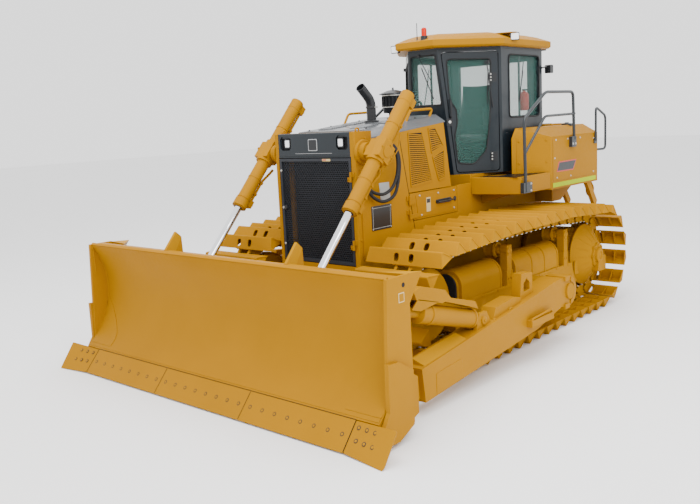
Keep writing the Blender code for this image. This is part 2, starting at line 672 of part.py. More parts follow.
def build_guard():
    """Radiator guard with its two long side plates and the lift cylinder bosses."""
    outer = slab("Z", GUARD_LOW, GUARD_TOP, [
        (-GUARD_HALF, GUARD_FRONT + 0.012), (-GUARD_HALF + 0.012, GUARD_FRONT),
        (GUARD_HALF - 0.012, GUARD_FRONT), (GUARD_HALF, GUARD_FRONT + 0.012),
        (GUARD_HALF, HOOD_FRONT - SEAT), (-GUARD_HALF, HOOD_FRONT - SEAT),
    ])
    sides = []
    for sign in (-1, 1):
        low, high = sorted((sign * (GUARD_HALF - SHEET), sign * GUARD_HALF))
        top_front = hood_height(HOOD_FRONT) - HOOD_DROP - HOOD_LIP - SEAT
        top_rear = hood_height(SEAM_TOP[0]) - HOOD_DROP - HOOD_LIP - SEAT
        sides.append(slab("X", low, high, [
            (HOOD_FRONT - 0.10, GUARD_LOW), (SEAM_LOW[0] - SEAT, GUARD_LOW),
            (SEAM_LOW[0] - SEAT, SEAM_LOW[1]), (seam_y(top_rear) - SEAT, top_rear),
            (HOOD_FRONT, top_front), (HOOD_FRONT - 0.10, top_front),
        ]))
        low, high = sorted((sign * (GUARD_HALF - 0.01), sign * (LIFT_X - BARREL_RADIUS - 0.055)))
        sides.append(rod((low, *LIFT_PIVOT), (high, *LIFT_PIVOT), 0.095, 24))
        hinge_x, hinge_y = side_door_hinge()
        pads = hinge_pieces((hinge_x, hinge_y), SIDE_HINGES, (0, 1), (1, 0))[1]
        sides += pads if sign > 0 else [mirrored(pad) for pad in pads]
    opening = box((-GRILLE_HALF + 0.03, GUARD_FRONT - 0.1, GRILLE_LOW + 0.03),
                  (GRILLE_HALF - 0.03, HOOD_FRONT + 0.1, GRILLE_TOP - 0.03))
    seat = box((-GRILLE_HALF - DOOR_GAP, GUARD_FRONT - 0.1, GRILLE_LOW - DOOR_GAP),
               (GRILLE_HALF + DOOR_GAP, GUARD_FRONT + GRILLE_THICK + SEAT, GRILLE_TOP + DOOR_GAP))
    room = box((-GUARD_HALF + GUARD_WALL, GUARD_FRONT + GRILLE_THICK + 0.06, GUARD_LOW - 0.1),
               (GUARD_HALF - GUARD_WALL, HOOD_FRONT + 0.1, GRILLE_TOP + 0.02))
    band = box((-GRILLE_HALF, GUARD_FRONT - 0.1, GRILLE_TOP + 0.02),
               (GRILLE_HALF, GUARD_FRONT + 0.012, GUARD_TOP + 0.1))
    pockets = []
    for sign in (-1, 1):
        middle = sign * 0.385
        pockets.append(box((middle - 0.075, GUARD_FRONT - 0.1, 2.175),
                           (middle + 0.075, GUARD_FRONT + 0.10, 2.325)))
    look = material("guard paint", PAINT, 0.45)
    door_pads, guard_pads = hinge_pieces(grille_hinge(), GRILLE_HINGES, (-1, 0), (0, -1))
    guard = combined(outer, sides, [opening, seat, room, band, *pockets])
    finish("radiator_guard", combined(guard, guard_pads), look)
    door = box((-GRILLE_HALF, GUARD_FRONT, GRILLE_LOW), (GRILLE_HALF, GUARD_FRONT + GRILLE_THICK, GRILLE_TOP))
    item = finish("grille_door", combined(door, door_pads), material("grille grey", HOOD_GREY, 0.5))
    pivoted(item, (*grille_hinge(), GRILLE_LOW))


def hood_height(y):
    """Height of the hood's top sheet."""
    share = (y - HOOD_FRONT) / (HOOD_REAR - HOOD_FRONT)
    return HOOD_FRONT_TOP + (HOOD_REAR_TOP - HOOD_FRONT_TOP) * share


def hood_section(y, inset):
    """Section across the hood top; an inset one runs on below it, to cut its inside."""
    top = hood_height(y) - inset
    half = BODY_HALF - inset
    shoulder = half - HOOD_CHAMFER
    low = hood_height(y) - HOOD_DROP - HOOD_LIP + (0.0 if inset == 0 else -0.05)
    edge = top - HOOD_DROP
    return [(-half, y, low), (-half, y, edge), (-shoulder, y, top),
            (shoulder, y, top), (half, y, edge), (half, y, low)]


def build_hood():
    """Hood top with its slanted edges, then the fixed vent panels and hinged side doors."""
    shell = loft([hood_section(HOOD_FRONT, 0.0), hood_section(HOOD_REAR, 0.0)])
    inside = loft([hood_section(HOOD_FRONT - 0.1, 0.022), hood_section(HOOD_REAR + 0.1, 0.022)])
    rails = []
    for sign in (-1, 1):
        x = sign * 0.44
        path = [(x, -0.36, hood_height(-0.36) - 0.015), (x, -0.28, 2.555),
                (x, 0.13, 2.565), (x, 0.07, hood_height(0.07) - 0.015)]
        rails.append(piped(path, 0.014, 0.04, 8))
    for y, radius in ((EXHAUST_Y, EXHAUST_RADIUS + 0.025), (INTAKE_Y, 0.08)):
        rails.append(rod((0, y, hood_height(y) - 0.015), (0, y, hood_height(y) + STACK_PAD), radius, 24))
    finish("hood", combined(shell, rails, [inside]), material("hood grey", HOOD_GREY, 0.45))
    top = hood_height(SEAM_TOP[0]) - HOOD_DROP - HOOD_LIP - SEAT
    upper = slab("X", BODY_HALF - SHEET, BODY_HALF, [
        (seam_y(top), top), (seam_y(SIDE_SPLIT), SIDE_SPLIT), (SIDE_REAR_LOW[0], SIDE_SPLIT),
        (SIDE_REAR_TOP[0], hood_height(SIDE_REAR_TOP[0]) - HOOD_DROP - HOOD_LIP - SEAT),
    ])
    pair("vent_panel", upper, material("panel paint", PAINT, 0.45))
    door_top = SIDE_SPLIT - DOOR_GAP
    lower = slab("X", BODY_HALF - SHEET, BODY_HALF, [
        (seam_y(SIDE_LOW) + DOOR_GAP, SIDE_LOW), (SIDE_DOOR_REAR, SIDE_LOW),
        (SIDE_DOOR_REAR, door_top), (seam_y(door_top) + DOOR_GAP, door_top),
    ])
    hinge_x, hinge_y = side_door_hinge()
    knuckles = hinge_pieces((hinge_x, hinge_y), SIDE_HINGES, (0, 1), (1, 0))[0][::2]
    straps = [box((BODY_HALF + 0.003, hinge_y, z + 0.002),
                  (BODY_HALF + 0.012, seam_y(z) + 0.08, z + KNUCKLE - 0.002)) for z in SIDE_HINGES]
    pads = [box((BODY_HALF - 0.003, seam_y(z) + 0.03, z + 0.004),
                (BODY_HALF + 0.010, seam_y(z) + 0.075, z + KNUCKLE - 0.004)) for z in SIDE_HINGES]
    door = combined(lower, joins=[*knuckles, *straps, *pads])
    doors = pair("side_door", door, material("door paint", PAINT, 0.45))
    for item, (_, sign) in zip(doors, SIDES):
        pivoted(item, (sign * hinge_x, hinge_y, SIDE_LOW))


def build_stacks():
    """Bent exhaust pipe and capped air intake on the hood."""
    bend = EXHAUST_BEND
    base = hood_height(EXHAUST_Y) + STACK_PAD + SEAT
    pipe = piped([(0, EXHAUST_Y, base), (0, EXHAUST_Y, bend), (0, EXHAUST_Y - 0.17, EXHAUST_TIP)],
                 EXHAUST_RADIUS, 0.07, 14)
    bore = piped([(0, EXHAUST_Y, bend - 0.04), (0, EXHAUST_Y, bend),
                  (0, EXHAUST_Y - 0.25, EXHAUST_TIP + 0.07)], EXHAUST_RADIUS - 0.006, 0.035, 14)
    finish("exhaust_pipe", combined(pipe, cuts=[bore]), material("exhaust black", BLACK, 0.4))
    foot = hood_height(INTAKE_Y) + STACK_PAD + SEAT
    intake = turned((0, INTAKE_Y, foot), (0, INTAKE_Y, foot + 0.36), (
        (0, 0.055), (0.045, 0.055), (0.05, 0.115), (0.10, 0.115), (0.105, INTAKE_RADIUS),
        (0.25, INTAKE_RADIUS), (0.255, INTAKE_RADIUS + 0.035), (0.265, INTAKE_RADIUS + 0.033),
        (0.30, 0.06), (0.305, 0.012), (0.33, 0.010),
    ), 20)
    finish("air_intake", intake, material("intake black", BLACK, 0.35))


# ================================================================ cab
DOOR_RUN = Vector((CAB_HALF - CAB_NOSE_HALF, CAB_SHOULDER - CAB_FRONT, 0))
DOOR_LENGTH = DOOR_RUN.length
DOOR_ALONG = DOOR_RUN.normalized()
DOOR_OUT = Vector((DOOR_ALONG.y, -DOOR_ALONG.x, 0))
DOOR_CORNER = Vector((CAB_NOSE_HALF, CAB_FRONT, 0))


def nose_slide(z):
    """How far the cab's front corner has slid back along the door's plane at a height."""
    return CAB_NOSE_LEAN * (CAB_TOP - z) / (CAB_TOP - CAB_FLOOR)


def cab_ring(z, inset):
    """Plan of the cab at a height, moved inward by a wall."""
    corner = DOOR_CORNER + DOOR_ALONG * nose_slide(z)
    inner = corner - DOOR_OUT * inset + DOOR_ALONG * inset * 0.46
    front_y = corner.y + inset
    reach = (front_y - inner.y) / DOOR_ALONG.y
    nose_x = inner.x + DOOR_ALONG.x * reach
    half = CAB_HALF - inset
    shoulder = inner.y + DOOR_ALONG.y * (half - inner.x) / DOOR_ALONG.x
    rear = CAB_REAR - inset
    right = [(nose_x, front_y), (half, shoulder), (half, rear)]
    left = [(-x, y) for x, y in reversed(right)]
    return [(x, y, z) for x, y in right + left]


def door_point(along, z, out=0.0):
    """A point on the left door's plane."""
    spot = DOOR_CORNER + DOOR_ALONG * along + DOOR_OUT * out
    return spot.x, spot.y, z


def door_slab(outline, inner, outer):
    """A plate in the door's plane, its outline as (along, height) pairs."""
    return loft([[door_point(along, z, out) for along, z in outline] for out in (inner, outer)])


def door_outline(grow):
    """The door's edge, or with growth the opening that takes it."""
    rear = DOOR_LENGTH - DOOR_REAR_POST + grow
    low, high = DOOR_LOW - grow, DOOR_HIGH + grow
    front_low = nose_slide(low) + DOOR_FRONT_POST - grow
    front_high = nose_slide(high) + DOOR_FRONT_POST - grow
    return [(front_low, low), (rear, low), (rear, high), (front_high, high)]


def door_window(grow):
    """Window with a deep round foot and a notch beside the handle."""
    front = nose_slide(3.0) + DOOR_FRONT_POST + 0.07
    rear = DOOR_LENGTH - DOOR_REAR_POST - 0.11
    points = [(front + 0.03, 3.03), (front, 3.00), (front + 0.02, 2.62), (front + 0.085, 2.52),
              (front + 0.085, 2.33), (front + 0.05, 2.24), (front + 0.08, 1.97),
              (front + 0.13, 1.92), (front + 0.25, 1.915), (front + 0.33, 1.98),
              (rear - 0.02, 2.16), (rear - 0.01, 2.55), (rear + 0.02, 2.75), (rear + 0.005, 2.95),
              (rear - 0.05, 3.03)]
    middle_a = sum(a for a, z in points) / len(points)
    middle_z = sum(z for a, z in points) / len(points)
    grown = []
    for a, z in points:
        reach = hypot(a - middle_a, z - middle_z)
        grown.append((middle_a + (a - middle_a) * (1 + grow / reach),
                      middle_z + (z - middle_z) * (1 + grow / reach)))
    return grown


def side_window_outline(gap):
    """Outline of the cab's side window, drawn in by a gap all round."""
    (front, rear), (low, high), cut, step = SIDE_WINDOW_Y, SIDE_WINDOW_Z, SIDE_WINDOW_CUT, SIDE_WINDOW_STEP
    return [(front + cut, low + gap), (rear - cut, low + gap), (rear - gap, low + cut),
            (rear - gap, high - step), (rear - cut, high - gap), (front + cut, high - gap),
            (front + gap, high - step), (front + gap, low + cut)]


def build_cab():
    """Hollow cab with its doors, doorways and glass."""
    shell = loft([cab_ring(CAB_FLOOR, 0.0), cab_ring(CAB_TOP, 0.0)])
    inside = loft([cab_ring(CAB_FLOOR + CAB_WALL, CAB_WALL), cab_ring(CAB_TOP + 0.1, CAB_WALL)])
    doorway = door_slab(door_outline(DOOR_GAP), -CAB_WALL - 0.02, 0.05)
    side_window = slab("X", CAB_HALF - CAB_WALL - 0.02, CAB_HALF + 0.05, side_window_outline(0.0))
    low, high = REAR_WINDOW
    rear_window = box((-REAR_WINDOW_HALF, CAB_REAR - 0.2, low), (REAR_WINDOW_HALF, CAB_REAR + 0.05, high))
    windshield = windshield_slab(0.0, -CAB_WALL - 0.02, 0.06)
    cuts = [inside, doorway, mirrored(doorway), side_window, mirrored(side_window), rear_window, windshield]
    door_pads, frame_pads = hinge_pieces(door_hinge(), CAB_HINGES, -DOOR_ALONG.xy, DOOR_OUT.xy)
    frame_look = material("cab grey", FRAME_GREY, 0.4)
    frame_pads += [mirrored(pad) for pad in frame_pads]
    finish("cab_shell", combined(combined(shell, cuts=cuts), joins=frame_pads), frame_look)

    glass = material("glass", GLASS_TINT, 0.08)
    middle = -CAB_WALL / 2
    door = combined(door_slab(door_outline(0.0), -CAB_WALL, 0.0), joins=door_pads,
                    cuts=[door_slab(door_window(0.0), -CAB_WALL - 0.02, 0.02)])
    pane = door_slab(door_window(-GLASS_GAP), middle - GLASS / 2, middle + GLASS / 2)
    for name, mesh, look in (("cab_door", door, frame_look), ("door_glass", pane, glass)):
        for item, (_, sign) in zip(pair(name, mesh, look), SIDES):
            hinge = door_hinge()
            pivoted(item, (sign * hinge[0], hinge[1], DOOR_LOW))
    side_pane = slab("X", CAB_HALF + middle - GLASS / 2, CAB_HALF + middle + GLASS / 2,
                     side_window_outline(GLASS_GAP))
    pair("side_window", side_pane, glass)
    rear_half = REAR_WINDOW_HALF - GLASS_GAP
    rear_pane = box((-rear_half, CAB_REAR + middle - GLASS / 2, low + GLASS_GAP),
                    (rear_half, CAB_REAR + middle + GLASS / 2, high - GLASS_GAP))
    finish("rear_window", rear_pane, glass)
    finish("windshield", windshield_slab(GLASS_GAP, middle - GLASS / 2, middle + GLASS / 2), glass)


def door_hinge():
    """The left door's hinge axis in plan."""
    spot = DOOR_CORNER + DOOR_ALONG * (DOOR_LENGTH - DOOR_REAR_POST + DOOR_GAP / 2) + DOOR_OUT * HINGE_OUT
    return spot.x, spot.y


def windshield_slab(shrink, inner, outer):
    """A plate in the leaning plane of the cab's front."""
    rings = []
    for out in (inner, outer):
        ring = []
        for sign, z in ((-1, 2.60), (1, 2.60), (1, 3.16), (-1, 3.16)):
            level = z + shrink if z < 3 else z - shrink
            y = DOOR_CORNER.y + DOOR_ALONG.y * nose_slide(level)
            half = CAB_NOSE_HALF + DOOR_ALONG.x * nose_slide(level) - 0.045 - shrink
            ring.append((sign * half, y - out, level))
        rings.append(ring)
    return loft(rings)


def roof_ring(z, grow, front, rear):
    """Outline of the roof at a height, standing outside the cab by grow."""
    nose = CAB_NOSE_HALF + 0.02 + grow * 0.5
    half = CAB_HALF + grow
    right = [(nose, front), (half, CAB_SHOULDER - 0.06), (half, rear - 0.10), (half - 0.10, rear)]
    return [(x, y, z) for x, y in right + [(-x, y) for x, y in reversed(right)]]


def build_roof():
    """Overhanging roof with its plug in the cab, beacon and aerial."""
    edge = ROOF_OVERHANG
    roof = loft([
        roof_ring(ROOF_LOW, edge - 0.02, ROOF_FRONT + 0.02, ROOF_REAR - 0.02),
        roof_ring(ROOF_LOW + 0.02, edge, ROOF_FRONT, ROOF_REAR),
        roof_ring(ROOF_EDGE, edge, ROOF_FRONT, ROOF_REAR),
        roof_ring(ROOF_TOP - 0.03, edge - 0.12, ROOF_FRONT + 0.15, ROOF_REAR - 0.14),
        roof_ring(ROOF_TOP, edge - 0.22, ROOF_FRONT + 0.26, ROOF_REAR - 0.26),
    ])
    plug = loft([cab_ring(CAB_TOP + SEAT, 0.004), cab_ring(ROOF_LOW + 0.01, 0.004)])
    x, y = BEACON
    foot = ROOF_EDGE + 0.06
    beacon = turned((x, y, ROOF_EDGE), (x, y, BEACON_TOP), (
        (0, 0.040), (foot - ROOF_EDGE, 0.040), (foot - ROOF_EDGE + 0.001, 0.032),
        (BEACON_TOP - ROOF_EDGE - 0.02, 0.032), (BEACON_TOP - ROOF_EDGE - 0.004, 0.022),
        (BEACON_TOP - ROOF_EDGE, 0.008),
    ), 16)
    aerial = rod((0, y, ROOF_EDGE), (0, y, AERIAL_TOP), AERIAL_RADIUS, 8)
    roof_mesh = combined(roof, joins=[plug, beacon, aerial])
    finish("cab_roof", roof_mesh, material("roof paint", PAINT, 0.4))


def build_cab_inside():
    """Operator seat and instrument panel on the cab floor."""
    floor = CAB_FLOOR + CAB_WALL + SEAT
    seat = combined(box((-0.20, 1.30, floor), (0.20, 1.70, floor + 0.25)), joins=[
        box((-0.27, 1.22, floor + 0.24), (0.27, 1.76, floor + 0.40)),
        slab("X", -0.25, 0.25, [(1.66, floor + 0.38), (1.78, floor + 0.38),
                                (1.90, floor + 1.02), (1.80, floor + 1.04)]),
        box((-0.38, 1.30, floor + 0.42), (-0.275, 1.62, floor + 0.52)),
        box((0.275, 1.30, floor + 0.42), (0.38, 1.62, floor + 0.52)),
        box((-0.34, 1.60, floor + 0.30), (0.34, 1.68, floor + 0.50)),
    ])
    finish("operator_seat", seat, material("seat black", BLACK, 0.8))
    dash = combined(slab("X", -0.24, 0.24, [
        (0.80, floor), (0.95, floor), (1.00, floor + 0.55), (0.97, floor + 0.66), (0.82, floor + 0.66),
    ]))
    finish("instrument_panel", dash, material("panel black", BLACK, 0.6))


# ================================================================ decks, tanks and rails
def leg(sign, x):
    """Slanted support leg under the tanks, behind the tracks."""
    top, foot = (LEG_TOP_Y, BOX_LOW + 0.05), (LEG_FOOT_Y, LEG_FOOT_Z)
    return slab("X", *sorted((sign * (x - 0.025), sign * (x + 0.025))), [
        (top[0] - 0.05, top[1]), (foot[0] - 0.045, foot[1]), (foot[0] + 0.02, foot[1]),
        (foot[0] + 0.045, foot[1] + 0.04), (top[0] + 0.06, top[1]),
    ])


def tank_ring(z, inset):
    """Outline of the left side tank at a height, its outer sides drawn in."""
    out, rear = DECK_OUT - inset, BOX_REAR - inset * 0.6
    return [(BOX_IN, BOX_FRONT_IN + inset * 0.6, z), (out, BOX_FRONT_OUT + inset * 0.9, z),
            (out, rear, z), (BOX_IN, rear, z)]


def build_decks():
    """Walkways beside the cab, then the side tanks and the rear tank."""
    look = material("deck paint", PAINT, 0.45)
    inner = BODY_HALF - 0.02 + SEAT
    deck = slab("Z", DECK_LOW, DECK_HIGH, [
        (inner, CASE_FRONT + 0.01), (DECK_OUT, DECK_FRONT_OUT + 0.01),
        (DECK_OUT, BOX_FRONT_OUT - SEAT - 0.03),
        (BOX_IN, BOX_FRONT_IN - 0.03), (inner, BOX_FRONT_IN - 0.03),
    ])
    bracket = slab("Y", 0.95, 1.05, [(inner, 1.43), (inner + 0.03, 1.43), (DECK_OUT - 0.1, DECK_LOW + 0.01),
                                     (inner, DECK_LOW + 0.01)])
    pair("deck", combined(deck, joins=[bracket]), look)
    chest = loft([tank_ring(BOX_LOW, 0.0), tank_ring(BOX_HIGH - 0.02, 0.0),
                  tank_ring(BOX_HIGH + BOX_SHOULDER, 0.16)])
    top, low = 2.50, 1.94
    rear = REAR_END - RAIL_RADIUS * 0.85
    x = DECK_OUT + RAIL_RADIUS
    back_x = DECK_OUT - 0.04
    loop = piped([(x, 2.84, 2.06), (x, 2.84, top), (x, rear, top - 0.12),
                  (x, rear, low), (back_x, BOX_REAR - 0.02, low)], RAIL_RADIUS * 0.85, 0.06, 8)
    pad = box((DECK_OUT - 0.01, 2.80, 2.03), (x + 0.001, 2.88, 2.09))
    pair("side_tank", combined(chest, joins=[loop, pad, leg(1, DECK_OUT - 0.045)]), look)
    tank_x = BOX_IN - SEAT
    tank = slab("X", -tank_x, tank_x, [
        (TANK_FRONT, CASE_HIGH + SEAT), (HULL_REAR, CASE_HIGH + SEAT), (BOX_REAR - 0.02, BOX_LOW - 0.05),
        (BOX_REAR - 0.02, BOX_HIGH - 0.05), (BOX_REAR - 0.14, TANK_HIGH), (TANK_FRONT, TANK_HIGH),
    ])
    finish("rear_tank", combined(tank, joins=[leg(-1, LEG_IN), leg(1, LEG_IN)]), look)


def build_rails():
    """Two bent handrails on each deck."""
    look = material("rail grey", TRIM, 0.4)
    x = DECK_OUT + RAIL_RADIUS + 0.016
    bend_z = 2.40
    upper = piped([(x, 0.92, DECK_LOW + 0.02), (x, 0.90, bend_z), (x, 1.42, 2.70), (x, 2.14, 2.70),
                   (x, 2.17, 2.11)], RAIL_RADIUS, 0.07, 8)
    lower = piped([(x, 0.91, 2.01), (x, 1.40, 2.42), (x, 2.155, 2.43)], RAIL_RADIUS * 0.85, 0.06, 8)
    feet = [box((DECK_OUT + SEAT, 0.86, DECK_LOW + 0.01), (x + 0.01, 1.06, DECK_LOW + 0.13)),
            box((DECK_OUT + SEAT, 2.09, 2.02), (x + 0.012, 2.21, 2.15))]
    pair("deck_rail", combined(upper, joins=[lower, *feet]), look)


# ================================================================ blade and linkage
def circle_through(a, b, c):
    """Centre and radius of the circle through three points."""
    ax, ay, bx, by, cx, cy = *a, *b, *c
    d = 2 * (ax * (by - cy) + bx * (cy - ay) + cx * (ay - by))
    ux = ((ax**2 + ay**2) * (by - cy) + (bx**2 + by**2) * (cy - ay) + (cx**2 + cy**2) * (ay - by)) / d
    uy = ((ax**2 + ay**2) * (cx - bx) + (bx**2 + by**2) * (ax - cx) + (cx**2 + cy**2) * (bx - ax)) / d
    return (ux, uy), hypot(ax - ux, ay - uy)


def blade_curve(offset):
    """The moldboard's face, top to bottom, moved back by an offset."""
    middle = (BLADE_MID_Y, (BLADE_TOP + EDGE_TOP_Z) / 2 + 0.06)
    centre, radius = circle_through((BLADE_TOP_Y, BLADE_TOP), middle, (EDGE_TOP_Y, EDGE_TOP_Z))
    start = atan2(BLADE_TOP - centre[1], BLADE_TOP_Y - centre[0]) * 180 / pi
    end = atan2(EDGE_TOP_Z - centre[1], EDGE_TOP_Y - centre[0]) * 180 / pi
    return arc(centre, radius + offset, start, end, 17)


def edge_frame():
    """Top of the cutting edge's face, its unit vectors down and back, and its height."""
    run = Vector((EDGE_TIP_Y - EDGE_TOP_Y, EDGE_TIP_Z - EDGE_TOP_Z))
    down = run.normalized()
    return Vector((EDGE_TOP_Y, EDGE_TOP_Z)), down, Vector((-down.y, down.x)), run.length


def behind_edge(share):
    """A point just behind the cutting edge's back, a share of the way down it."""
    top, down, back, height = edge_frame()
    return tuple(top + down * height * share + back * (EDGE_PLATE + SEAT))


def edge_outline():
    """Cutting edge in section, its front face in line with the moldboard's foot."""
    top, down, back, height = edge_frame()
    start = top + down * EDGE_DROP
    tip = top + down * height
    return [tuple(start), tuple(tip), tuple(tip + back * EDGE_PLATE * 0.6 - down * 0.03),
            tuple(start + back * EDGE_PLATE)]


def build_blade():
    """Moldboard with its end plates, beams and ears, then the cutting edge and end bits."""
    look = material("blade paint", PAINT, 0.4)
    face, back = blade_curve(0.0), blade_curve(BLADE_PLATE)
    inner = BLADE_HALF - END_PLATE
    plate = slab("X", -inner - 0.01, inner + 0.01, face + list(reversed(back)))
    joins = []
    for sign in (-1, 1):
        low, high = sorted((sign * inner, sign * BLADE_HALF))
        joins.append(slab("X", low, high, [
            (-2.785, BLADE_TOP), (-2.515, BLADE_TOP), (-2.50, 0.62), (-2.50, 0.12), (-2.73, 0.035),
            behind_edge(0.75), behind_edge(0.0), (-2.83, 0.26),
        ]))
        low, high = sorted((sign * (BLADE_HALF - 0.01), sign * (BLADE_HALF + 0.028)))
        joins.append(slab("X", low, high, [
            (-2.84, 0.674), (-2.71, 0.667), (-2.53, 0.561), (-2.54, 0.122), (-2.73, 0.04),
            behind_edge(0.75), behind_edge(0.12), (-2.84, 0.30),
        ]))
    beam_low = slab("X", -inner, inner, [behind_edge(-0.02), behind_edge(0.35), (-2.50, 0.12), (-2.40, 0.16),
                                         (-2.40, 0.46), (-2.66, 0.62)])
    beam_top = slab("X", -inner, inner, [(-2.755, BLADE_TOP - 0.001), (-2.62, BLADE_TOP - 0.001),
                                         (-2.57, BLADE_TOP - 0.07), (-2.57, 1.10), (-2.625, 1.06)])
    joins += [beam_low, beam_top]
    for sign in (-1, 1):
        for offset in (-1, 1):
            x = sign * LIFT_X + offset * (EYE_WIDTH / 2 + RUN_GAP + 0.02)
            joins.append(slab("X", x - 0.016, x + 0.016, [
                (-2.62, 0.58), (-2.42, 0.45), (LIFT_EYE[0] + 0.06, 0.72), (LIFT_EYE[0] + 0.09, 0.84),
                (LIFT_EYE[0] + 0.03, 0.93), (-2.60, 1.12),
            ]))
            x = sign * ARM_X + offset * (NOSE_WIDTH + LUG) / 2
            joins.append(slab("X", x - LUG / 2, x + LUG / 2, [
                (-2.45, 0.13), (ARM_PIN[0], ARM_PIN[1] - 0.085), (ARM_PIN[0] + 0.075, ARM_PIN[1] - 0.04),
                (ARM_PIN[0] + 0.075, ARM_PIN[1] + 0.04), (ARM_PIN[0], ARM_PIN[1] + 0.085), (-2.45, 0.43),
            ]))
            x = sign * STRUT_X + offset * (EYE_WIDTH + LUG) / 2
            joins.append(slab("X", x - LUG / 2, x + LUG / 2, [
                (-2.62, 0.70), (STRUT_FRONT[0] + 0.02, STRUT_FRONT[1] - 0.09),
                (STRUT_FRONT[0] + 0.08, STRUT_FRONT[1] + 0.01),
                (STRUT_FRONT[0] + 0.02, STRUT_FRONT[1] + 0.08), (-2.60, 1.12),
            ]))
        x = sign * 0.845
        low, high = sorted((x - 0.015, x + 0.015))
        joins.append(slab("X", low, high, [(-2.66, 1.20), (-2.45, 1.20), (-2.46, 1.42), (-2.52, 1.475),
                                           (-2.66, 1.31)]))
        corner = sign * inner
        joins.append(loft([
            [(corner, -2.52, 1.305), (corner, -2.30, 1.29), (corner, -2.52, 1.00)],
            [(corner - sign * 0.30, -2.56, 1.305), (corner - sign * 0.29, -2.555, 1.30),
             (corner - sign * 0.30, -2.56, 1.28)],
        ]))
    top, down, back, _ = edge_frame()
    ledge = top + down * (EDGE_DROP - SEAT)
    heel = ledge + back * (EDGE_PLATE + SEAT)
    room = slab("X", -END_BIT_OUT, END_BIT_OUT, [
        tuple(ledge - back * 0.3), tuple(heel), tuple(heel + down * 0.5),
        tuple(ledge - back * 0.3 + down * 0.5),
    ])
    finish("moldboard", combined(combined(plate, joins), cuts=[room]), look)

    edge = slab("X", -END_EDGE_X + 0.002, END_EDGE_X - 0.002, edge_outline())
    finish("cutting_edge", edge, material("edge steel", PAINT, 0.4))
    outline = edge_outline()
    shift_top = (END_BIT_TOP[0] - outline[0][0], END_BIT_TOP[1] - outline[0][1])
    shift_tip = (END_BIT_Y - EDGE_TIP_Y, END_BIT_LIFT - EDGE_TIP_Z)
    rings = []
    for x in (END_EDGE_X, BLADE_HALF + END_PLATE, END_BIT_OUT):
        share = (x - END_EDGE_X) / (END_BIT_OUT - END_EDGE_X)
        back_share = share if x == END_BIT_OUT else 0.0
        ring = []
        for k, (y, z) in enumerate(outline):
            dy, dz = shift_top if k in (0, 3) else shift_tip
            part = share if k in (0, 1) else back_share
            ring.append((x, y + dy * part, z + dz * part))
        rings.append(ring)
    pair("end_bit", loft(rings), look)


def arm_top(y):
    """Height of the push arm's top plate ahead of its rear knee."""
    share = (y - ARM_TOP_FRONT[0]) / (ARM_TOP_KNEE[0] - ARM_TOP_FRONT[0])
    return ARM_TOP_FRONT[1] + (ARM_TOP_KNEE[1] - ARM_TOP_FRONT[1]) * share


def build_arms():
    """Push arms with their bored rear ends, step plates and strut brackets."""
    look = material("arm paint", PAINT, 0.45)
    arm = slab("X", ARM_IN, ARM_OUT, [
        ARM_TOP_FRONT, (-2.11, 0.12), (-0.16, 0.30), (0.37, 0.42),
        *arc((PIVOT_Y, PIVOT_Z), 0.165, -90, 90, 13), (0.30, 0.725), ARM_TOP_KNEE,
    ])
    nose = slab("X", ARM_X - NOSE_WIDTH / 2 + SEAT, ARM_X + NOSE_WIDTH / 2 - SEAT, [
        (-2.05, 0.38), *arc(ARM_PIN, 0.080, 100, 260, 9), (-2.05, 0.15),
    ])
    clevis = []
    foot, tip = STRUT_REAR
    for offset in (-1, 1):
        x = STRUT_X + offset * (EYE_WIDTH + LUG) / 2
        clevis.append(slab("X", x - LUG / 2, x + LUG / 2, [
            (foot - 0.14, arm_top(foot - 0.14) - 0.02), (foot + 0.14, arm_top(foot + 0.14) - 0.02),
            (foot + 0.06, tip + 0.075), (foot - 0.06, tip + 0.075),
        ]))
    valve_box = slab("X", STRUT_X - 0.075, STRUT_X + 0.075, [
        (-0.96, arm_top(-0.96) - 0.02), (-0.42, arm_top(-0.42) - 0.02), (-0.42, arm_top(-0.42) + 0.045),
        (-0.56, arm_top(-0.56) + 0.09), (-0.90, arm_top(-0.90) + 0.10),
    ])
    plate = slab("X", ARM_X - 0.05, ARM_X + 0.05, [
        (-0.40, 0.60), (-0.14, 0.64), (-0.14, 0.88), (-0.36, 0.90),
    ])
    hole = slab("X", ARM_IN - 0.1, ARM_OUT + 0.1, [
        (-0.32, 0.71), (-0.20, 0.72), (-0.20, 0.79), (-0.26, 0.84), (-0.32, 0.79),
    ])
    step = box((ARM_OUT - 0.01, -0.38, 0.37), (ARM_OUT + 0.06, 0.08, 0.44))
    bore = rod((ARM_IN - 0.1, PIVOT_Y, PIVOT_Z), (ARM_OUT + 0.1, PIVOT_Y, PIVOT_Z),
               TRUNNION_RADIUS + PIN_GAP, 48)
    arm_mesh = combined(arm, [nose, *clevis, valve_box, plate, step], [hole, bore])
    for item, (_, sign) in zip(pair("push_arm", arm_mesh, look), SIDES):
        pivoted(item, (sign * ARM_OUT, PIVOT_Y, PIVOT_Z))


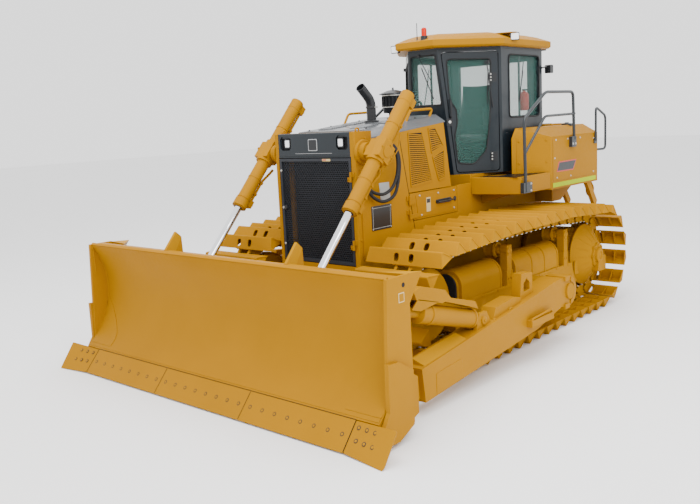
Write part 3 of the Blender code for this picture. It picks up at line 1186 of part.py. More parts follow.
def build_struts():
    """Tilt cylinder on the left arm and the plain brace on the right arm."""
    start = Vector((STRUT_X, *STRUT_REAR))
    end = Vector((STRUT_X, *STRUT_FRONT))
    run = (end - start).normalized()
    length = (end - start).length
    eye_half = EYE_WIDTH / 2 - SEAT
    for name, sign, shape in (("tilt_cylinder", 1, TILT_RADIUS), ("brace", -1, BRACE_RADIUS)):
        barrel = turned(start + run * 0.11, end, ((0, shape * 0.8), (0.03, shape), (length - 0.42, shape),
                                                  (length - 0.40, 0.042), (length - 0.16, 0.042)), 24)
        eyes = [slab("X", STRUT_X - eye_half, STRUT_X + eye_half, circle(STRUT_REAR, 0.050, 20)),
                slab("X", STRUT_X - eye_half, STRUT_X + eye_half, circle(STRUT_FRONT, 0.065, 20))]
        neck = bar(start, start + run * 0.12, 0.07, 0.08)
        neck_front = bar(end, end - run * 0.16, 0.06, 0.07)
        mesh = combined(barrel, [*eyes, neck, neck_front])
        if sign < 0:
            mesh = mirrored(mesh)
        finish(name, mesh, material("strut paint", PAINT, 0.45))


def build_lift_cylinders():
    """Lift barrels on their trunnions and the rods that run in them."""
    start = Vector((LIFT_X, *LIFT_PIVOT))
    end = Vector((LIFT_X, *LIFT_EYE))
    run = (end - start).normalized()
    length = (end - start).length
    barrel_start = start - run * BARREL_BACK
    total = BARREL_BACK + BARREL_AHEAD
    barrel = turned(barrel_start, end, ((0, BARREL_RADIUS), (total, BARREL_RADIUS)), 24)
    collar = turned(barrel_start, end, ((total - 0.09, BARREL_RADIUS + 0.008),
                                        (total - 0.002, BARREL_RADIUS + 0.008)), 24)
    band = turned(barrel_start, end, ((BARREL_BACK - 0.13, BARREL_RADIUS + 0.02),
                                      (BARREL_BACK + 0.13, BARREL_RADIUS + 0.02)), 24)
    yoke = bar(start - run * 0.10, start + run * 0.10, BARREL_RADIUS * 2 + 0.05, 0.17)
    side = LIFT_X - BARREL_RADIUS - 0.055 + SEAT
    stub = rod((side, *LIFT_PIVOT), (LIFT_X, *LIFT_PIVOT), 0.075, 20)
    bore = turned(barrel_start + run * 0.03, end, ((0, ROD_RADIUS + 0.015),
                                                   (total - 0.08, ROD_RADIUS + 0.015)), 20)
    gland = turned(barrel_start, end, ((total - 0.10, ROD_RADIUS + 0.0005),
                                       (total + 0.1, ROD_RADIUS + 0.0005)), 20)
    mesh = combined(barrel, [collar, band, yoke, stub], [bore, gland])
    barrels = pair("lift_barrel", mesh, material("cylinder paint", PAINT, 0.4))
    for item, (_, sign) in zip(barrels, SIDES):
        pivoted(item, (sign * LIFT_X, *LIFT_PIVOT))
    tail = start + run * 0.20
    shaft = turned(tail, end, ((0, ROD_RADIUS + 0.012), (0.06, ROD_RADIUS + 0.012), (0.062, ROD_RADIUS),
                               (length - 0.20 - 0.05, ROD_RADIUS)), 20)
    eye = slab("X", LIFT_X - EYE_WIDTH / 2, LIFT_X + EYE_WIDTH / 2, circle(LIFT_EYE, EYE_RADIUS, 24))
    pin_half = EYE_WIDTH / 2 + 0.006
    pin = rod((LIFT_X - pin_half, *LIFT_EYE), (LIFT_X + pin_half, *LIFT_EYE), 0.035, 16)
    rod_mesh = combined(shaft, [eye, pin])
    rods = pair("lift_rod", rod_mesh, material("chrome", CHROME, 0.15, 1.0))
    for item, (_, sign) in zip(rods, SIDES):
        pivoted(item, (sign * LIFT_X, *LIFT_EYE))


# ================================================================ the whole machine
def main():
    """Model the whole machine."""
    clear_scene()
    build_tracks()
    build_track_frames()
    build_wheels()
    build_hull()
    build_guard()
    build_hood()
    build_stacks()
    build_cab()
    build_roof()
    build_cab_inside()
    build_decks()
    build_rails()
    build_blade()
    build_arms()
    build_struts()
    build_lift_cylinders()


main()
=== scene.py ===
"""Looks of a wide-track crawler bulldozer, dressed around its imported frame.

Lengths are metres and +Z is up. The machine faces -Y and its left side is +X.
"""

import logging
from collections.abc import Callable, Sequence
from dataclasses import dataclass
from enum import Enum
from math import atan2, cos, degrees, hypot, pi, radians, sin

import bmesh
import bpy
from mathutils import Matrix, Vector


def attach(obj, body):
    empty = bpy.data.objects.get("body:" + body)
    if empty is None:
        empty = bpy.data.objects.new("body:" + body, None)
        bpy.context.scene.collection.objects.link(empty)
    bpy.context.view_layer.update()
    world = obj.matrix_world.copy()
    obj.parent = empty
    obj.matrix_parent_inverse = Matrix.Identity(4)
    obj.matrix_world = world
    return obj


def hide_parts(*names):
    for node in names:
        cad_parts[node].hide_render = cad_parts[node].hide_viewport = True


Point = Vector | tuple[float, float, float]
Flat = tuple[float, float]
Colour = tuple[float, float, float]

LOG = logging.getLogger("bulldozer")

LEFT, AHEAD, REAR = (1, 0, 0), (0, -1, 0), (0, 1, 0)
UP, DOWN = (0, 0, 1), (0, 0, -1)

CLOUDS_PER_METRE, SPECKS_PER_METRE = 1.7, 23.0
SHARP_EDGE, ROUNDED_EDGE = radians(38), radians(32)


# ================================================================ finishes
class Surface(Enum):
    """The ways a surface can be made up."""

    PAINT = "sprayed enamel"
    METAL = "bare or plated metal"
    MOULDED = "moulded plastic or rubber"
    GLASS = "tinted glass"
    CLOTH = "woven cloth"
    LENS = "lamp lens"


@dataclass(frozen=True)
class Finish:
    """One finish of the machine."""

    name: str
    colour: Colour
    surface: Surface = Surface.PAINT
    roughness: float = 0.4
    metallic: float = 0.0
    coat: float = 0.0
    mottle: float = 0.06
    grain: float = 420.0
    relief: float = 0.0002
    alpha: float = 1.0
    glow: float = 0.0
    gloss: float = 0.3

    def material(self) -> bpy.types.Material:
        """Return the procedural material, made once.

        Returns:
            The material of this finish.
        """
        found = bpy.data.materials.get(self.name)
        return found if found else self._made()

    def _made(self) -> bpy.types.Material:
        """Build the node tree.

        Returns:
            The new material.
        """
        made = bpy.data.materials.new(self.name)
        made.use_nodes = True
        tree = made.node_tree
        shader = tree.nodes["Principled BSDF"]
        shader.inputs["Metallic"].default_value = self.metallic
        shader.inputs["Coat Weight"].default_value = self.coat
        shader.inputs["Coat Roughness"].default_value = 0.12
        shader.inputs["Alpha"].default_value = self.alpha
        shader.inputs["Specular IOR Level"].default_value = self.gloss
        if self.surface is Surface.LENS:
            shader.inputs["Emission Color"].default_value = (*self.colour, 1.0)
            shader.inputs["Emission Strength"].default_value = self.glow
        if self.surface is Surface.CLOTH:
            shader.inputs["Sheen Weight"].default_value = 0.3
        place = tree.nodes.new("ShaderNodeTexCoord").outputs["Object"]
        cloud = self._noise(tree, place, CLOUDS_PER_METRE, 4.0)
        fine = self._noise(tree, place, SPECKS_PER_METRE, 3.0)
        self._link_colour(tree, shader, cloud)
        self._link_roughness(tree, shader, fine)
        self._link_relief(tree, shader, place)
        return made

    @staticmethod
    def _noise(
        tree: bpy.types.NodeTree, place: bpy.types.NodeSocket, scale: float, detail: float
    ) -> bpy.types.NodeSocket:
        """Add a noise texture.

        Args:
            tree: Node tree to add to.
            place: Texture coordinates.
            scale: Cells for each metre.
            detail: Octaves.

        Returns:
            The noise's value socket.
        """
        node = tree.nodes.new("ShaderNodeTexNoise")
        node.inputs["Scale"].default_value = scale
        node.inputs["Detail"].default_value = detail
        tree.links.new(place, node.inputs["Vector"])
        return node.outputs[0]

    @staticmethod
    def _remapped(
        tree: bpy.types.NodeTree, value: bpy.types.NodeSocket, low: float, high: float
    ) -> bpy.types.NodeSocket:
        """Map a noise value onto a range.

        Args:
            tree: Node tree to add to.
            value: Socket between 0 and 1.
            low: Result where the value is 0.3.
            high: Result where the value is 0.7.

        Returns:
            The mapped socket.
        """
        node = tree.nodes.new("ShaderNodeMapRange")
        node.inputs["From Min"].default_value = 0.3
        node.inputs["From Max"].default_value = 0.7
        node.inputs["To Min"].default_value = low
        node.inputs["To Max"].default_value = high
        tree.links.new(value, node.inputs["Value"])
        return node.outputs["Result"]

    def _link_colour(
        self, tree: bpy.types.NodeTree, shader: bpy.types.Node, cloud: bpy.types.NodeSocket
    ) -> None:
        """Vary the colour in broad clouds.

        Args:
            tree: Node tree to add to.
            shader: The principled shader.
            cloud: Broad noise.
        """
        mix = tree.nodes.new("ShaderNodeMix")
        mix.data_type = "RGBA"
        dark = tuple(max(0.0, c * (1.0 - self.mottle)) for c in self.colour)
        light = tuple(min(1.0, c * (1.0 + self.mottle)) for c in self.colour)
        mix.inputs["A"].default_value = (*dark, 1.0)
        mix.inputs["B"].default_value = (*light, 1.0)
        tree.links.new(self._remapped(tree, cloud, 0.0, 1.0), mix.inputs["Factor"])
        tree.links.new(mix.outputs["Result"], shader.inputs["Base Color"])

    def _link_roughness(
        self, tree: bpy.types.NodeTree, shader: bpy.types.Node, fine: bpy.types.NodeSocket
    ) -> None:
        """Vary the roughness a little.

        Args:
            tree: Node tree to add to.
            shader: The principled shader.
            fine: Fine noise.
        """
        low, high = self.roughness * 0.88, min(1.0, self.roughness * 1.14)
        tree.links.new(self._remapped(tree, fine, low, high), shader.inputs["Roughness"])

    def _link_relief(
        self, tree: bpy.types.NodeTree, shader: bpy.types.Node, place: bpy.types.NodeSocket
    ) -> None:
        """Give the surface its small relief: orange peel, moulding grain or weave.

        Args:
            tree: Node tree to add to.
            shader: The principled shader.
            place: Texture coordinates.
        """
        if self.relief <= 0.0:
            return
        height = self._noise(tree, place, self.grain, 2.0)
        if self.surface is Surface.CLOTH:
            weave = tree.nodes.new("ShaderNodeTexWave")
            weave.inputs["Scale"].default_value = self.grain
            tree.links.new(place, weave.inputs["Vector"])
            height = weave.outputs[1]
        bump = tree.nodes.new("ShaderNodeBump")
        bump.inputs["Strength"].default_value = 0.5
        bump.inputs["Distance"].default_value = self.relief
        tree.links.new(height, bump.inputs["Height"])
        tree.links.new(bump.outputs["Normal"], shader.inputs["Normal"])


Chooser = Callable[[Vector, Vector], Finish | None]

YELLOW = Finish("yellow_enamel", (0.335, 0.149, 0.0), roughness=0.42, mottle=0.04, gloss=0.05)
WORK_YELLOW = Finish("undercarriage_enamel", (0.35, 0.158, 0.0), roughness=0.55, mottle=0.1, gloss=0.04)
# A lighter copy of the yellow enamel for the ears, the up-facing gusset faces and the arms' top chamfer:
# painted highlight where light falls.
HIGHLIGHT_YELLOW = Finish("yellow_enamel_painted_highlight", (0.385, 0.183, 0.0), roughness=0.5, gloss=0.05)
CAB_GREY = Finish("cab_grey_enamel", (0.0055, 0.01, 0.014), roughness=0.34, coat=0.2)
HOOD_GREY = Finish("hood_grey_enamel", (0.085, 0.09, 0.096), roughness=0.34, coat=0.35)
RAIL_GREY = Finish("rail_grey_enamel", (0.02, 0.024, 0.027), roughness=0.34, coat=0.2)
BLACK = Finish("black_enamel", (0.01, 0.011, 0.013), roughness=0.34, coat=0.2)
RUBBER = Finish("black_rubber", (0.012, 0.012, 0.013), Surface.MOULDED, roughness=0.62, grain=900.0)
PLASTIC = Finish("black_plastic", (0.016, 0.017, 0.019), Surface.MOULDED, roughness=0.5, grain=700.0)
# Near black. The own colour of seams, joints, the engine and the radiator fins, and also painted shade: dark
# sheets put in vents, lamp pockets, a cover mouth, a hole and behind the grille.
DARK_PARTS_AND_SHADE = Finish("dark_parts_and_painted_shade", (0.008, 0.008, 0.009), Surface.MOULDED, roughness=0.85)
CHROME = Finish("chrome_plate", (0.83, 0.84, 0.86), Surface.METAL, 0.1, 1.0, mottle=0.02, relief=0.0)
STEEL = Finish("zinc_plate", (0.52, 0.51, 0.47), Surface.METAL, 0.38, 1.0, mottle=0.1)
ALLOY = Finish("lamp_housing", (0.42, 0.43, 0.44), Surface.METAL, 0.42, 0.7)
GLASS = Finish("teal_glass", (0.065, 0.17, 0.145), Surface.GLASS, 0.05, relief=0.0, alpha=0.22)
LENS = Finish("lamp_lens", (0.86, 0.88, 0.9), Surface.LENS, 0.2, grain=160.0, relief=0.0015, glow=0.25)
RED = Finish("red_enamel", (0.52, 0.016, 0.01), roughness=0.35, coat=0.3)
BEACON_RED = Finish("beacon_red", (0.5, 0.016, 0.002), Surface.LENS, 0.2, glow=0.05, gloss=0.15)
# The lime tape glows faintly like a lamp lens: painted glow on a part that is no lamp.
LIME = Finish("lime_tape", (0.36, 0.47, 0.0), Surface.LENS, 0.5, glow=0.02, relief=0.0, gloss=0.03)
CREAM = Finish("blank_label", (0.56, 0.44, 0.2), roughness=0.5)
SEAT_CLOTH = Finish("seat_cloth", (0.02, 0.021, 0.024), Surface.CLOTH, 0.85, grain=240.0, relief=0.001)
IRON = Finish("cast_iron", (0.03, 0.03, 0.031), Surface.METAL, 0.65, 0.4, grain=180.0, relief=0.0008)
GRILLE_GREY = Finish("grille_enamel", (0.018, 0.021, 0.027), roughness=0.45)
GREY_LABEL = Finish("grey_label", (0.36, 0.37, 0.36), roughness=0.5)


# ================================================================ geometry
def arc(centre: Flat, radius: float, start: float, end: float, count: int) -> list[Flat]:
    """Return points along an arc.

    Args:
        centre: Middle of the arc.
        radius: Its radius.
        start: First angle in degrees.
        end: Last angle in degrees.
        count: Number of points, both ends included.

    Returns:
        The points.
    """
    angles = [radians(start + (end - start) * i / (count - 1)) for i in range(count)]
    return [(centre[0] + radius * cos(a), centre[1] + radius * sin(a)) for a in angles]


def rounded(corners: Sequence[Flat], radius: float, steps: int = 4) -> list[Flat]:
    """Round the corners of an outline.

    Args:
        corners: The outline.
        radius: Distance from a corner at which its curve starts.
        steps: Parts of each curve.

    Returns:
        The rounded outline.
    """
    points: list[Flat] = []
    for i, here in enumerate(corners):
        ends = []
        for other in (corners[i - 1], corners[(i + 1) % len(corners)]):
            reach = hypot(other[0] - here[0], other[1] - here[1])
            share = min(radius, reach * 0.45) / reach
            ends.append((here[0] + (other[0] - here[0]) * share, here[1] + (other[1] - here[1]) * share))
        for k in range(steps + 1):
            t = k / steps
            first, middle, last = (1 - t) ** 2, 2 * t * (1 - t), t * t
            blend = (first * a + middle * b + last * c for a, b, c in zip(ends[0], here, ends[1]))
            points.append(tuple(blend))
    return points


def oblong(first: Flat, opposite: Flat, radius: float) -> list[Flat]:
    """Return a rectangle with rounded corners.

    Args:
        first: The corner at which it starts.
        opposite: The corner across from it.
        radius: Distance from a corner at which its curve starts.

    Returns:
        The outline.
    """
    (left, low), (right, high) = first, opposite
    return rounded([(left, low), (right, low), (right, high), (left, high)], radius)


def run_of(start: Flat, end: Flat) -> Vector:
    """Return the direction from one point of the machine's side view to another.

    Args:
        start: First point as (y, z).
        end: Second point as (y, z).

    Returns:
        The unit vector.
    """
    return Vector((0, end[0] - start[0], end[1] - start[1])).normalized()


def smooth_path(points: Sequence[Point], steps: int = 6) -> list[Vector]:
    """Return a smooth curve through points.

    Args:
        points: Points to pass through.
        steps: Parts between two points.

    Returns:
        The curve's points.
    """
    knots = [Vector(p) for p in points]
    knots = [knots[0] * 2 - knots[1], *knots, knots[-1] * 2 - knots[-2]]
    path: list[Vector] = []
    for a, b, c, d in zip(knots, knots[1:], knots[2:], knots[3:]):
        for k in range(steps):
            t = k / steps
            bend = (2 * a - 5 * b + 4 * c - d) * t**2
            twist = (3 * b - a - 3 * c + d) * t**3
            path.append(0.5 * (2 * b + (c - a) * t + bend + twist))
    path.append(knots[-2])
    return path


def bent_path(points: Sequence[Point], corner: float, steps: int = 5) -> list[Vector]:
    """Return straight runs joined by round bends.

    Args:
        points: Ends and corners of the runs.
        corner: Distance from a corner at which its bend starts.
        steps: Parts of each bend.

    Returns:
        The path's points.
    """
    knots = [Vector(p) for p in points]
    path = [knots[0]]
    for before, here, after in zip(knots, knots[1:], knots[2:]):
        start = here + (before - here).normalized() * corner
        end = here + (after - here).normalized() * corner
        for k in range(steps + 1):
            t = k / steps
            path.append(start * (1 - t) ** 2 + here * 2 * t * (1 - t) + end * t * t)
    path.append(knots[-1])
    return path


class Workpiece:
    """A mesh under construction, grown from closed solids that each have a finish."""

    def __init__(self) -> None:
        """Start with nothing."""
        self.shape = bmesh.new()
        self.finishes: list[Finish] = []

    def slot_of(self, finish: Finish) -> int:
        """Return the material slot of a finish.

        Args:
            finish: The finish.

        Returns:
            Its index.
        """
        if finish not in self.finishes:
            self.finishes.append(finish)
        return self.finishes.index(finish)

    def loft(self, rings: Sequence[Sequence[Point]], finish: Finish = YELLOW) -> None:
        """Skin a run of rings and close both ends.

        Args:
            rings: Rings with the same number of points.
            finish: Finish of the faces.
        """
        slot = self.slot_of(finish)
        rows = [[self.shape.verts.new(point) for point in ring] for ring in rings]
        count = len(rows[0])
        faces = []
        for row, following in zip(rows, rows[1:]):
            for i in range(count):
                j = (i + 1) % count
                faces.append(self.shape.faces.new((row[i], row[j], following[j], following[i])))
        faces.append(self.shape.faces.new(rows[0]))
        faces.append(self.shape.faces.new(rows[-1]))
        for face in faces:
            face.material_index = slot
            face.smooth = True

    def prism(
        self, axis: str, low: float, high: float, outline: Sequence[Flat], finish: Finish = YELLOW
    ) -> None:
        """Extrude an outline along an axis.

        Args:
            axis: X with (y, z), Y with (x, z) or Z with (x, y) outlines.
            low: One level.
            high: The other level, above or below it.
            outline: The outline.
            finish: Finish of the faces.
        """
        spots = {
            "X": lambda level, u, v: (level, u, v),
            "Y": lambda level, u, v: (u, level, v),
            "Z": lambda level, u, v: (u, v, level),
        }[axis]
        self.loft([[spots(level, u, v) for u, v in outline] for level in sorted((low, high))], finish)

    def box(self, low: Point, high: Point, finish: Finish = YELLOW) -> None:
        """Add a box between two corners.

        Args:
            low: Lowest corner.
            high: Highest corner.
            finish: Finish of the faces.
        """
        corners = ((low[0], low[1]), (high[0], low[1]), (high[0], high[1]), (low[0], high[1]))
        self.prism("Z", low[2], high[2], corners, finish)

    def plate(
        self, foot: Point, u: Point, v: Point, outline: Sequence[Flat], thickness: float, finish: Finish
    ) -> None:
        """Extrude an outline drawn in a slanted plane.

        Args:
            foot: Origin of the plane.
            u: First direction in the plane.
            v: Second direction in the plane.
            outline: Points as (along u, along v).
            thickness: Depth along the cross product of u and v.
            finish: Finish of the faces.
        """
        foot, u, v = Vector(foot), Vector(u).normalized(), Vector(v).normalized()
        out = u.cross(v).normalized() * thickness
        base = [foot + u * a + v * b for a, b in outline]
        self.loft([base, [point + out for point in base]], finish)

    def lathe(
        self, start: Point, run: Point, profile: Sequence[Flat], finish: Finish, sides: int = 24
    ) -> None:
        """Turn a profile about an axis.

        Args:
            start: Where the axis starts.
            run: Direction of the axis.
            profile: Points as (distance along the axis, radius).
            finish: Finish of the faces.
            sides: Number of sides.
        """
        start, run = Vector(start), Vector(run).normalized()
        side, up = across(run)
        rings = []
        for distance, radius in profile:
            centre = start + run * distance
            angles = [2 * pi * i / sides for i in range(sides)]
            rings.append([centre + (side * cos(a) + up * sin(a)) * radius for a in angles])
        self.loft(rings, finish)

    def rod(self, start: Point, end: Point, radius: float, finish: Finish, sides: int = 20) -> None:
        """Add a round bar with small chamfers at its ends.

        Args:
            start: One end.
            end: The other end.
            radius: Its radius.
            finish: Finish of the faces.
            sides: Number of sides.
        """
        run = Vector(end) - Vector(start)
        nip = min(0.15 * radius, 0.003)
        profile = ((0, radius - nip), (nip, radius), (run.length - nip, radius), (run.length, radius - nip))
        self.lathe(start, run, profile, finish, sides)

    def bar(self, start: Point, end: Point, width: float, height: float, finish: Finish = YELLOW) -> None:
        """Add a box beam; its width lies level where it can.

        Args:
            start: One end.
            end: The other end.
            width: Size across.
            height: Size the other way.
            finish: Finish of the faces.
        """
        start, end = Vector(start), Vector(end)
        side, up = across(end - start)
        side, up = side * width / 2, up * height / 2
        ring = [side + up, up - side, -side - up, side - up]
        self.loft([[point + offset for offset in ring] for point in (start, end)], finish)

    def tube(self, path: Sequence[Point], radius: float, finish: Finish, sides: int = 12) -> None:
        """Sweep a circle along a path.

        Args:
            path: Points of the centre line.
            radius: Radius of the tube.
            finish: Finish of the faces.
            sides: Number of sides.
        """
        points = [Vector(p) for p in path]
        heading = (points[1] - points[0]).normalized()
        side, up = across(heading)
        rings = []
        for i, point in enumerate(points):
            ahead = (points[min(i + 1, len(points) - 1)] - points[max(i - 1, 0)]).normalized()
            turn = heading.rotation_difference(ahead)
            side.rotate(turn)
            up.rotate(turn)
            heading = ahead
            angles = [2 * pi * k / sides for k in range(sides)]
            rings.append([point + (side * cos(a) + up * sin(a)) * radius for a in angles])
        self.loft(rings, finish)

    def bolt(self, seat: Point, out: Point, radius: float, finish: Finish = YELLOW) -> None:
        """Add a hexagon head on a washer.

        Args:
            seat: Middle of the washer's foot.
            out: Direction in which the head stands.
            radius: Half width of the head over its corners.
            finish: Finish of the bolt.
        """
        seat, out = Vector(seat), Vector(out).normalized()
        sunk = seat - out * 0.002
        self.lathe(sunk, out, ((0, radius * 1.35), (0.004, radius * 1.35), (0.005, radius * 1.2)), finish, 16)
        tall = radius * 0.75 + 0.004
        self.lathe(sunk, out, ((0.003, radius), (tall * 0.85, radius), (tall, radius * 0.8)), finish, 6)

    def cast(self, node: str, finish: Finish, choose: Chooser | None = None) -> None:
        """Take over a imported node's shape, welded and with its flats whole.

        Args:
            node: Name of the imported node.
            finish: Finish of its faces.
            choose: Picks another finish for a face from its middle and normal, or None.
        """
        source = bmesh.new()
        source.from_mesh(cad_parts[node].data)
        bmesh.ops.remove_doubles(source, verts=source.verts, dist=0.00005)
        bmesh.ops.recalc_face_normals(source, faces=source.faces)
        default = self.slot_of(finish)
        for face in source.faces:
            other = choose(face.calc_center_median(), face.normal) if choose else None
            face.material_index = self.slot_of(other) if other else default
            face.smooth = True
        bmesh.ops.dissolve_limit(
            source, angle_limit=radians(0.5), verts=source.verts, edges=source.edges, delimit={"MATERIAL"}
        )
        held = bpy.data.meshes.new("held")
        source.to_mesh(held)
        source.free()
        self.shape.from_mesh(held)
        bpy.data.meshes.remove(held)

    def carve(self, tool: "Workpiece") -> None:
        """Cut another workpiece out of this one.

        Args:
            tool: The shape to remove; it is used up.
        """
        meshes = []
        for piece in (self, tool):
            bmesh.ops.recalc_face_normals(piece.shape, faces=piece.shape.faces)
            mesh = bpy.data.meshes.new("carving")
            piece.shape.to_mesh(mesh)
            for finish in self.finishes:
                mesh.materials.append(finish.material())
            meshes.append(mesh)
        body, cutter = [bpy.data.objects.new("carving", mesh) for mesh in meshes]
        for item in (body, cutter):
            bpy.context.scene.collection.objects.link(item)
        step = body.modifiers.new("cut", "BOOLEAN")
        step.operation = "DIFFERENCE"
        step.solver = "EXACT"
        step.object = cutter
        graph = bpy.context.evaluated_depsgraph_get()
        result = bpy.data.meshes.new_from_object(body.evaluated_get(graph))
        self.shape.free()
        self.shape = bmesh.new()
        self.shape.from_mesh(result)
        for item in (body, cutter):
            bpy.data.objects.remove(item, do_unlink=True)
        for mesh in (*meshes, result):
            bpy.data.meshes.remove(mesh)

    def stamped(self, matrices: Sequence[Matrix]) -> "Workpiece":
        """Repeat this workpiece at several places.

        Args:
            matrices: One placing for each copy.

        Returns:
            A new workpiece that holds all copies.
        """
        mesh = bpy.data.meshes.new("stamp")
        self.shape.to_mesh(mesh)
        made = Workpiece()
        made.finishes = list(self.finishes)
        for matrix in matrices:
            copy = mesh.copy()
            copy.transform(matrix)
            made.shape.from_mesh(copy)
            bpy.data.meshes.remove(copy)
        bpy.data.meshes.remove(mesh)
        return made

    def softened(self, edge: float) -> None:
        """Round the edges now, before the workpiece is repeated.

        Args:
            edge: Width of the rounding.
        """
        sharp = [
            e for e in self.shape.edges if len(e.link_faces) == 2 and e.calc_face_angle(0.0) > radians(35)]
        bmesh.ops.bevel(
            self.shape, geom=sharp, offset=edge, segments=1, profile=0.5, affect="EDGES", clamp_overlap=True)
        for face in self.shape.faces:
            face.smooth = True

    def place(
        self, name: str, body: str, edge: float = 0.0, replaces: Sequence[str] = (), mirror: bool = False
    ) -> bpy.types.Object:
        """Put the workpiece in the scene on a body of the frame.

        Args:
            name: Name of the piece.
            body: Body that carries it.
            edge: Width of the rounding of its edges, or 0 to leave them.
            replaces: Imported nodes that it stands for.
            mirror: Whether to place the mirror image across X.

        Returns:
            The object.
        """
        bmesh.ops.recalc_face_normals(self.shape, faces=self.shape.faces)
        mesh = bpy.data.meshes.new(name)
        self.shape.to_mesh(mesh)
        if mirror:
            mesh.transform(Matrix.Scale(-1, 4, (1, 0, 0)))
            mesh.flip_normals()
        for finish in self.finishes:
            mesh.materials.append(finish.material())
        item = bpy.data.objects.new(name, mesh)
        bpy.context.scene.collection.objects.link(item)
        if edge > 0.0:
            rounding = item.modifiers.new("rounding", "BEVEL")
            rounding.width = edge
            rounding.segments = 2
            rounding.limit_method = "ANGLE"
            rounding.angle_limit = ROUNDED_EDGE
            item.modifiers.new("normals", "WEIGHTED_NORMAL")
        else:
            mesh.set_sharp_from_angle(angle=SHARP_EDGE)
        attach(item, body)
        if replaces:
            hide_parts(*replaces)
        LOG.info("%s: %d faces on %s", name, len(mesh.polygons), body)
        return item

    def place_pair(self, name: str, body: str, edge: float = 0.0, replaces: str = "") -> None:
        """Put the left piece and its mirror image in the scene.

        Args:
            name: Name of the piece without its side.
            body: Body that carries it; {side} stands for left or right.
            edge: Width of the rounding of its edges.
            replaces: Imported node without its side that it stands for, or nothing.
        """
        for side, mirror in (("left", False), ("right", True)):
            stood_for = (f"{replaces}_{side}",) if replaces else ()
            self.place(f"{name}_{side}", body.format(side=side), edge, stood_for, mirror)


def across(run: Vector) -> tuple[Vector, Vector]:
    """Return two unit vectors square to a direction.

    Args:
        run: The direction.

    Returns:
        One vector that lies level where it can, and the one square to both.
    """
    run = Vector(run).normalized()
    helper = Vector((0, 0, 1)) if abs(run.z) < 0.9 else Vector((1, 0, 0))
    side = run.cross(helper).normalized()
    return side, side.cross(run).normalized()


def dress(
    node: str, finish: Finish, edge: float = 0.003, choose: Chooser | None = None, body: str = "chassis"
) -> None:
    """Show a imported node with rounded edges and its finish.

    Args:
        node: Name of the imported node.
        finish: Its finish.
        edge: Width of the rounding of its edges.
        choose: Picks another finish for a face, or None.
        body: Body that carries the node.
    """
    work = Workpiece()
    work.cast(node, finish, choose)
    work.place(f"{node}.body", body, edge, (node,))


def dress_pair(
    node: str, finish: Finish, edge: float = 0.003, choose: Chooser | None = None, body: str = "chassis"
) -> None:
    """Show the left and right nodes of one name.

    Args:
        node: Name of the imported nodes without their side.
        finish: Their finish.
        edge: Width of the rounding of their edges.
        choose: Picks another finish for a face, or None.
        body: Body that carries them; {side} stands for left or right.
    """
    for side in ("left", "right"):
        dress(f"{node}_{side}", finish, edge, choose, body.format(side=side))


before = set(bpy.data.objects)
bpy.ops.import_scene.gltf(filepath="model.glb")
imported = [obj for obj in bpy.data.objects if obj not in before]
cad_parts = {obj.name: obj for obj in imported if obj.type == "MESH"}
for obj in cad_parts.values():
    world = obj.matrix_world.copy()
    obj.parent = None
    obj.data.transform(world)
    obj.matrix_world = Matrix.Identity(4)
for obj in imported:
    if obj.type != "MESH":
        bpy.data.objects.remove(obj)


# ================================================================ undercarriage
@dataclass
class ChainLine:
    """The closed line of link pins, which gives each shoe its place."""

    shoes: int = 44
    idler_y: float = -1.1
    wheelbase: float = 3.32
    wheel_z: float = 0.655
    pitch_radius: float = 0.455
    lift: float = 0.058
    front_carrier: float = 0.28
    rear_carrier: float = 1.63
    first: float = 0.25
    pitch: float = 0.0

    def places(self) -> list[Matrix]:
        """Return each shoe's placing.

        Returns:
            Matrices that take (across, along, outward) to the frame, across from the chain's middle.
        """
        sprocket_y = self.idler_y + self.wheelbase
        top, low = self.wheel_z + self.pitch_radius + self.lift, self.wheel_z - self.pitch_radius
        front_top, rear_top = self.front_carrier - 0.25, self.rear_carrier - 0.35
        rise_front = degrees(atan2(self.lift, front_top - self.idler_y))
        rise_rear = degrees(atan2(self.lift, sprocket_y - rear_top))
        rear = arc((sprocket_y, self.wheel_z), self.pitch_radius, -90, 90 - rise_rear, 40)
        front = arc((self.idler_y, self.wheel_z), self.pitch_radius, 90 + rise_front, 270, 40)
        line = [(self.idler_y, low), *rear, (rear_top, top), (front_top, top), *front[:-1]]
        closed = line + line[:1]
        lengths = [0.0]
        for here, following in zip(closed, closed[1:]):
            lengths.append(lengths[-1] + hypot(following[0] - here[0], following[1] - here[1]))
        self.pitch = lengths[-1] / self.shoes
        placings = []
        for i in range(self.shoes):
            target = self.pitch * (i + self.first)
            k = max(j for j in range(len(line)) if lengths[j] <= target)
            share = (target - lengths[k]) / (lengths[k + 1] - lengths[k])
            here, following = closed[k], closed[k + 1]
            y = here[0] + (following[0] - here[0]) * share
            z = here[1] + (following[1] - here[1]) * share
            turn = atan2(following[1] - here[1], following[0] - here[0])
            placings.append(
                Matrix((
                    (1, 0, 0, 0),
                    (0, cos(turn), sin(turn), y),
                    (0, sin(turn), -cos(turn), z),
                    (0, 0, 0, 1),
                ))
            )
        return placings


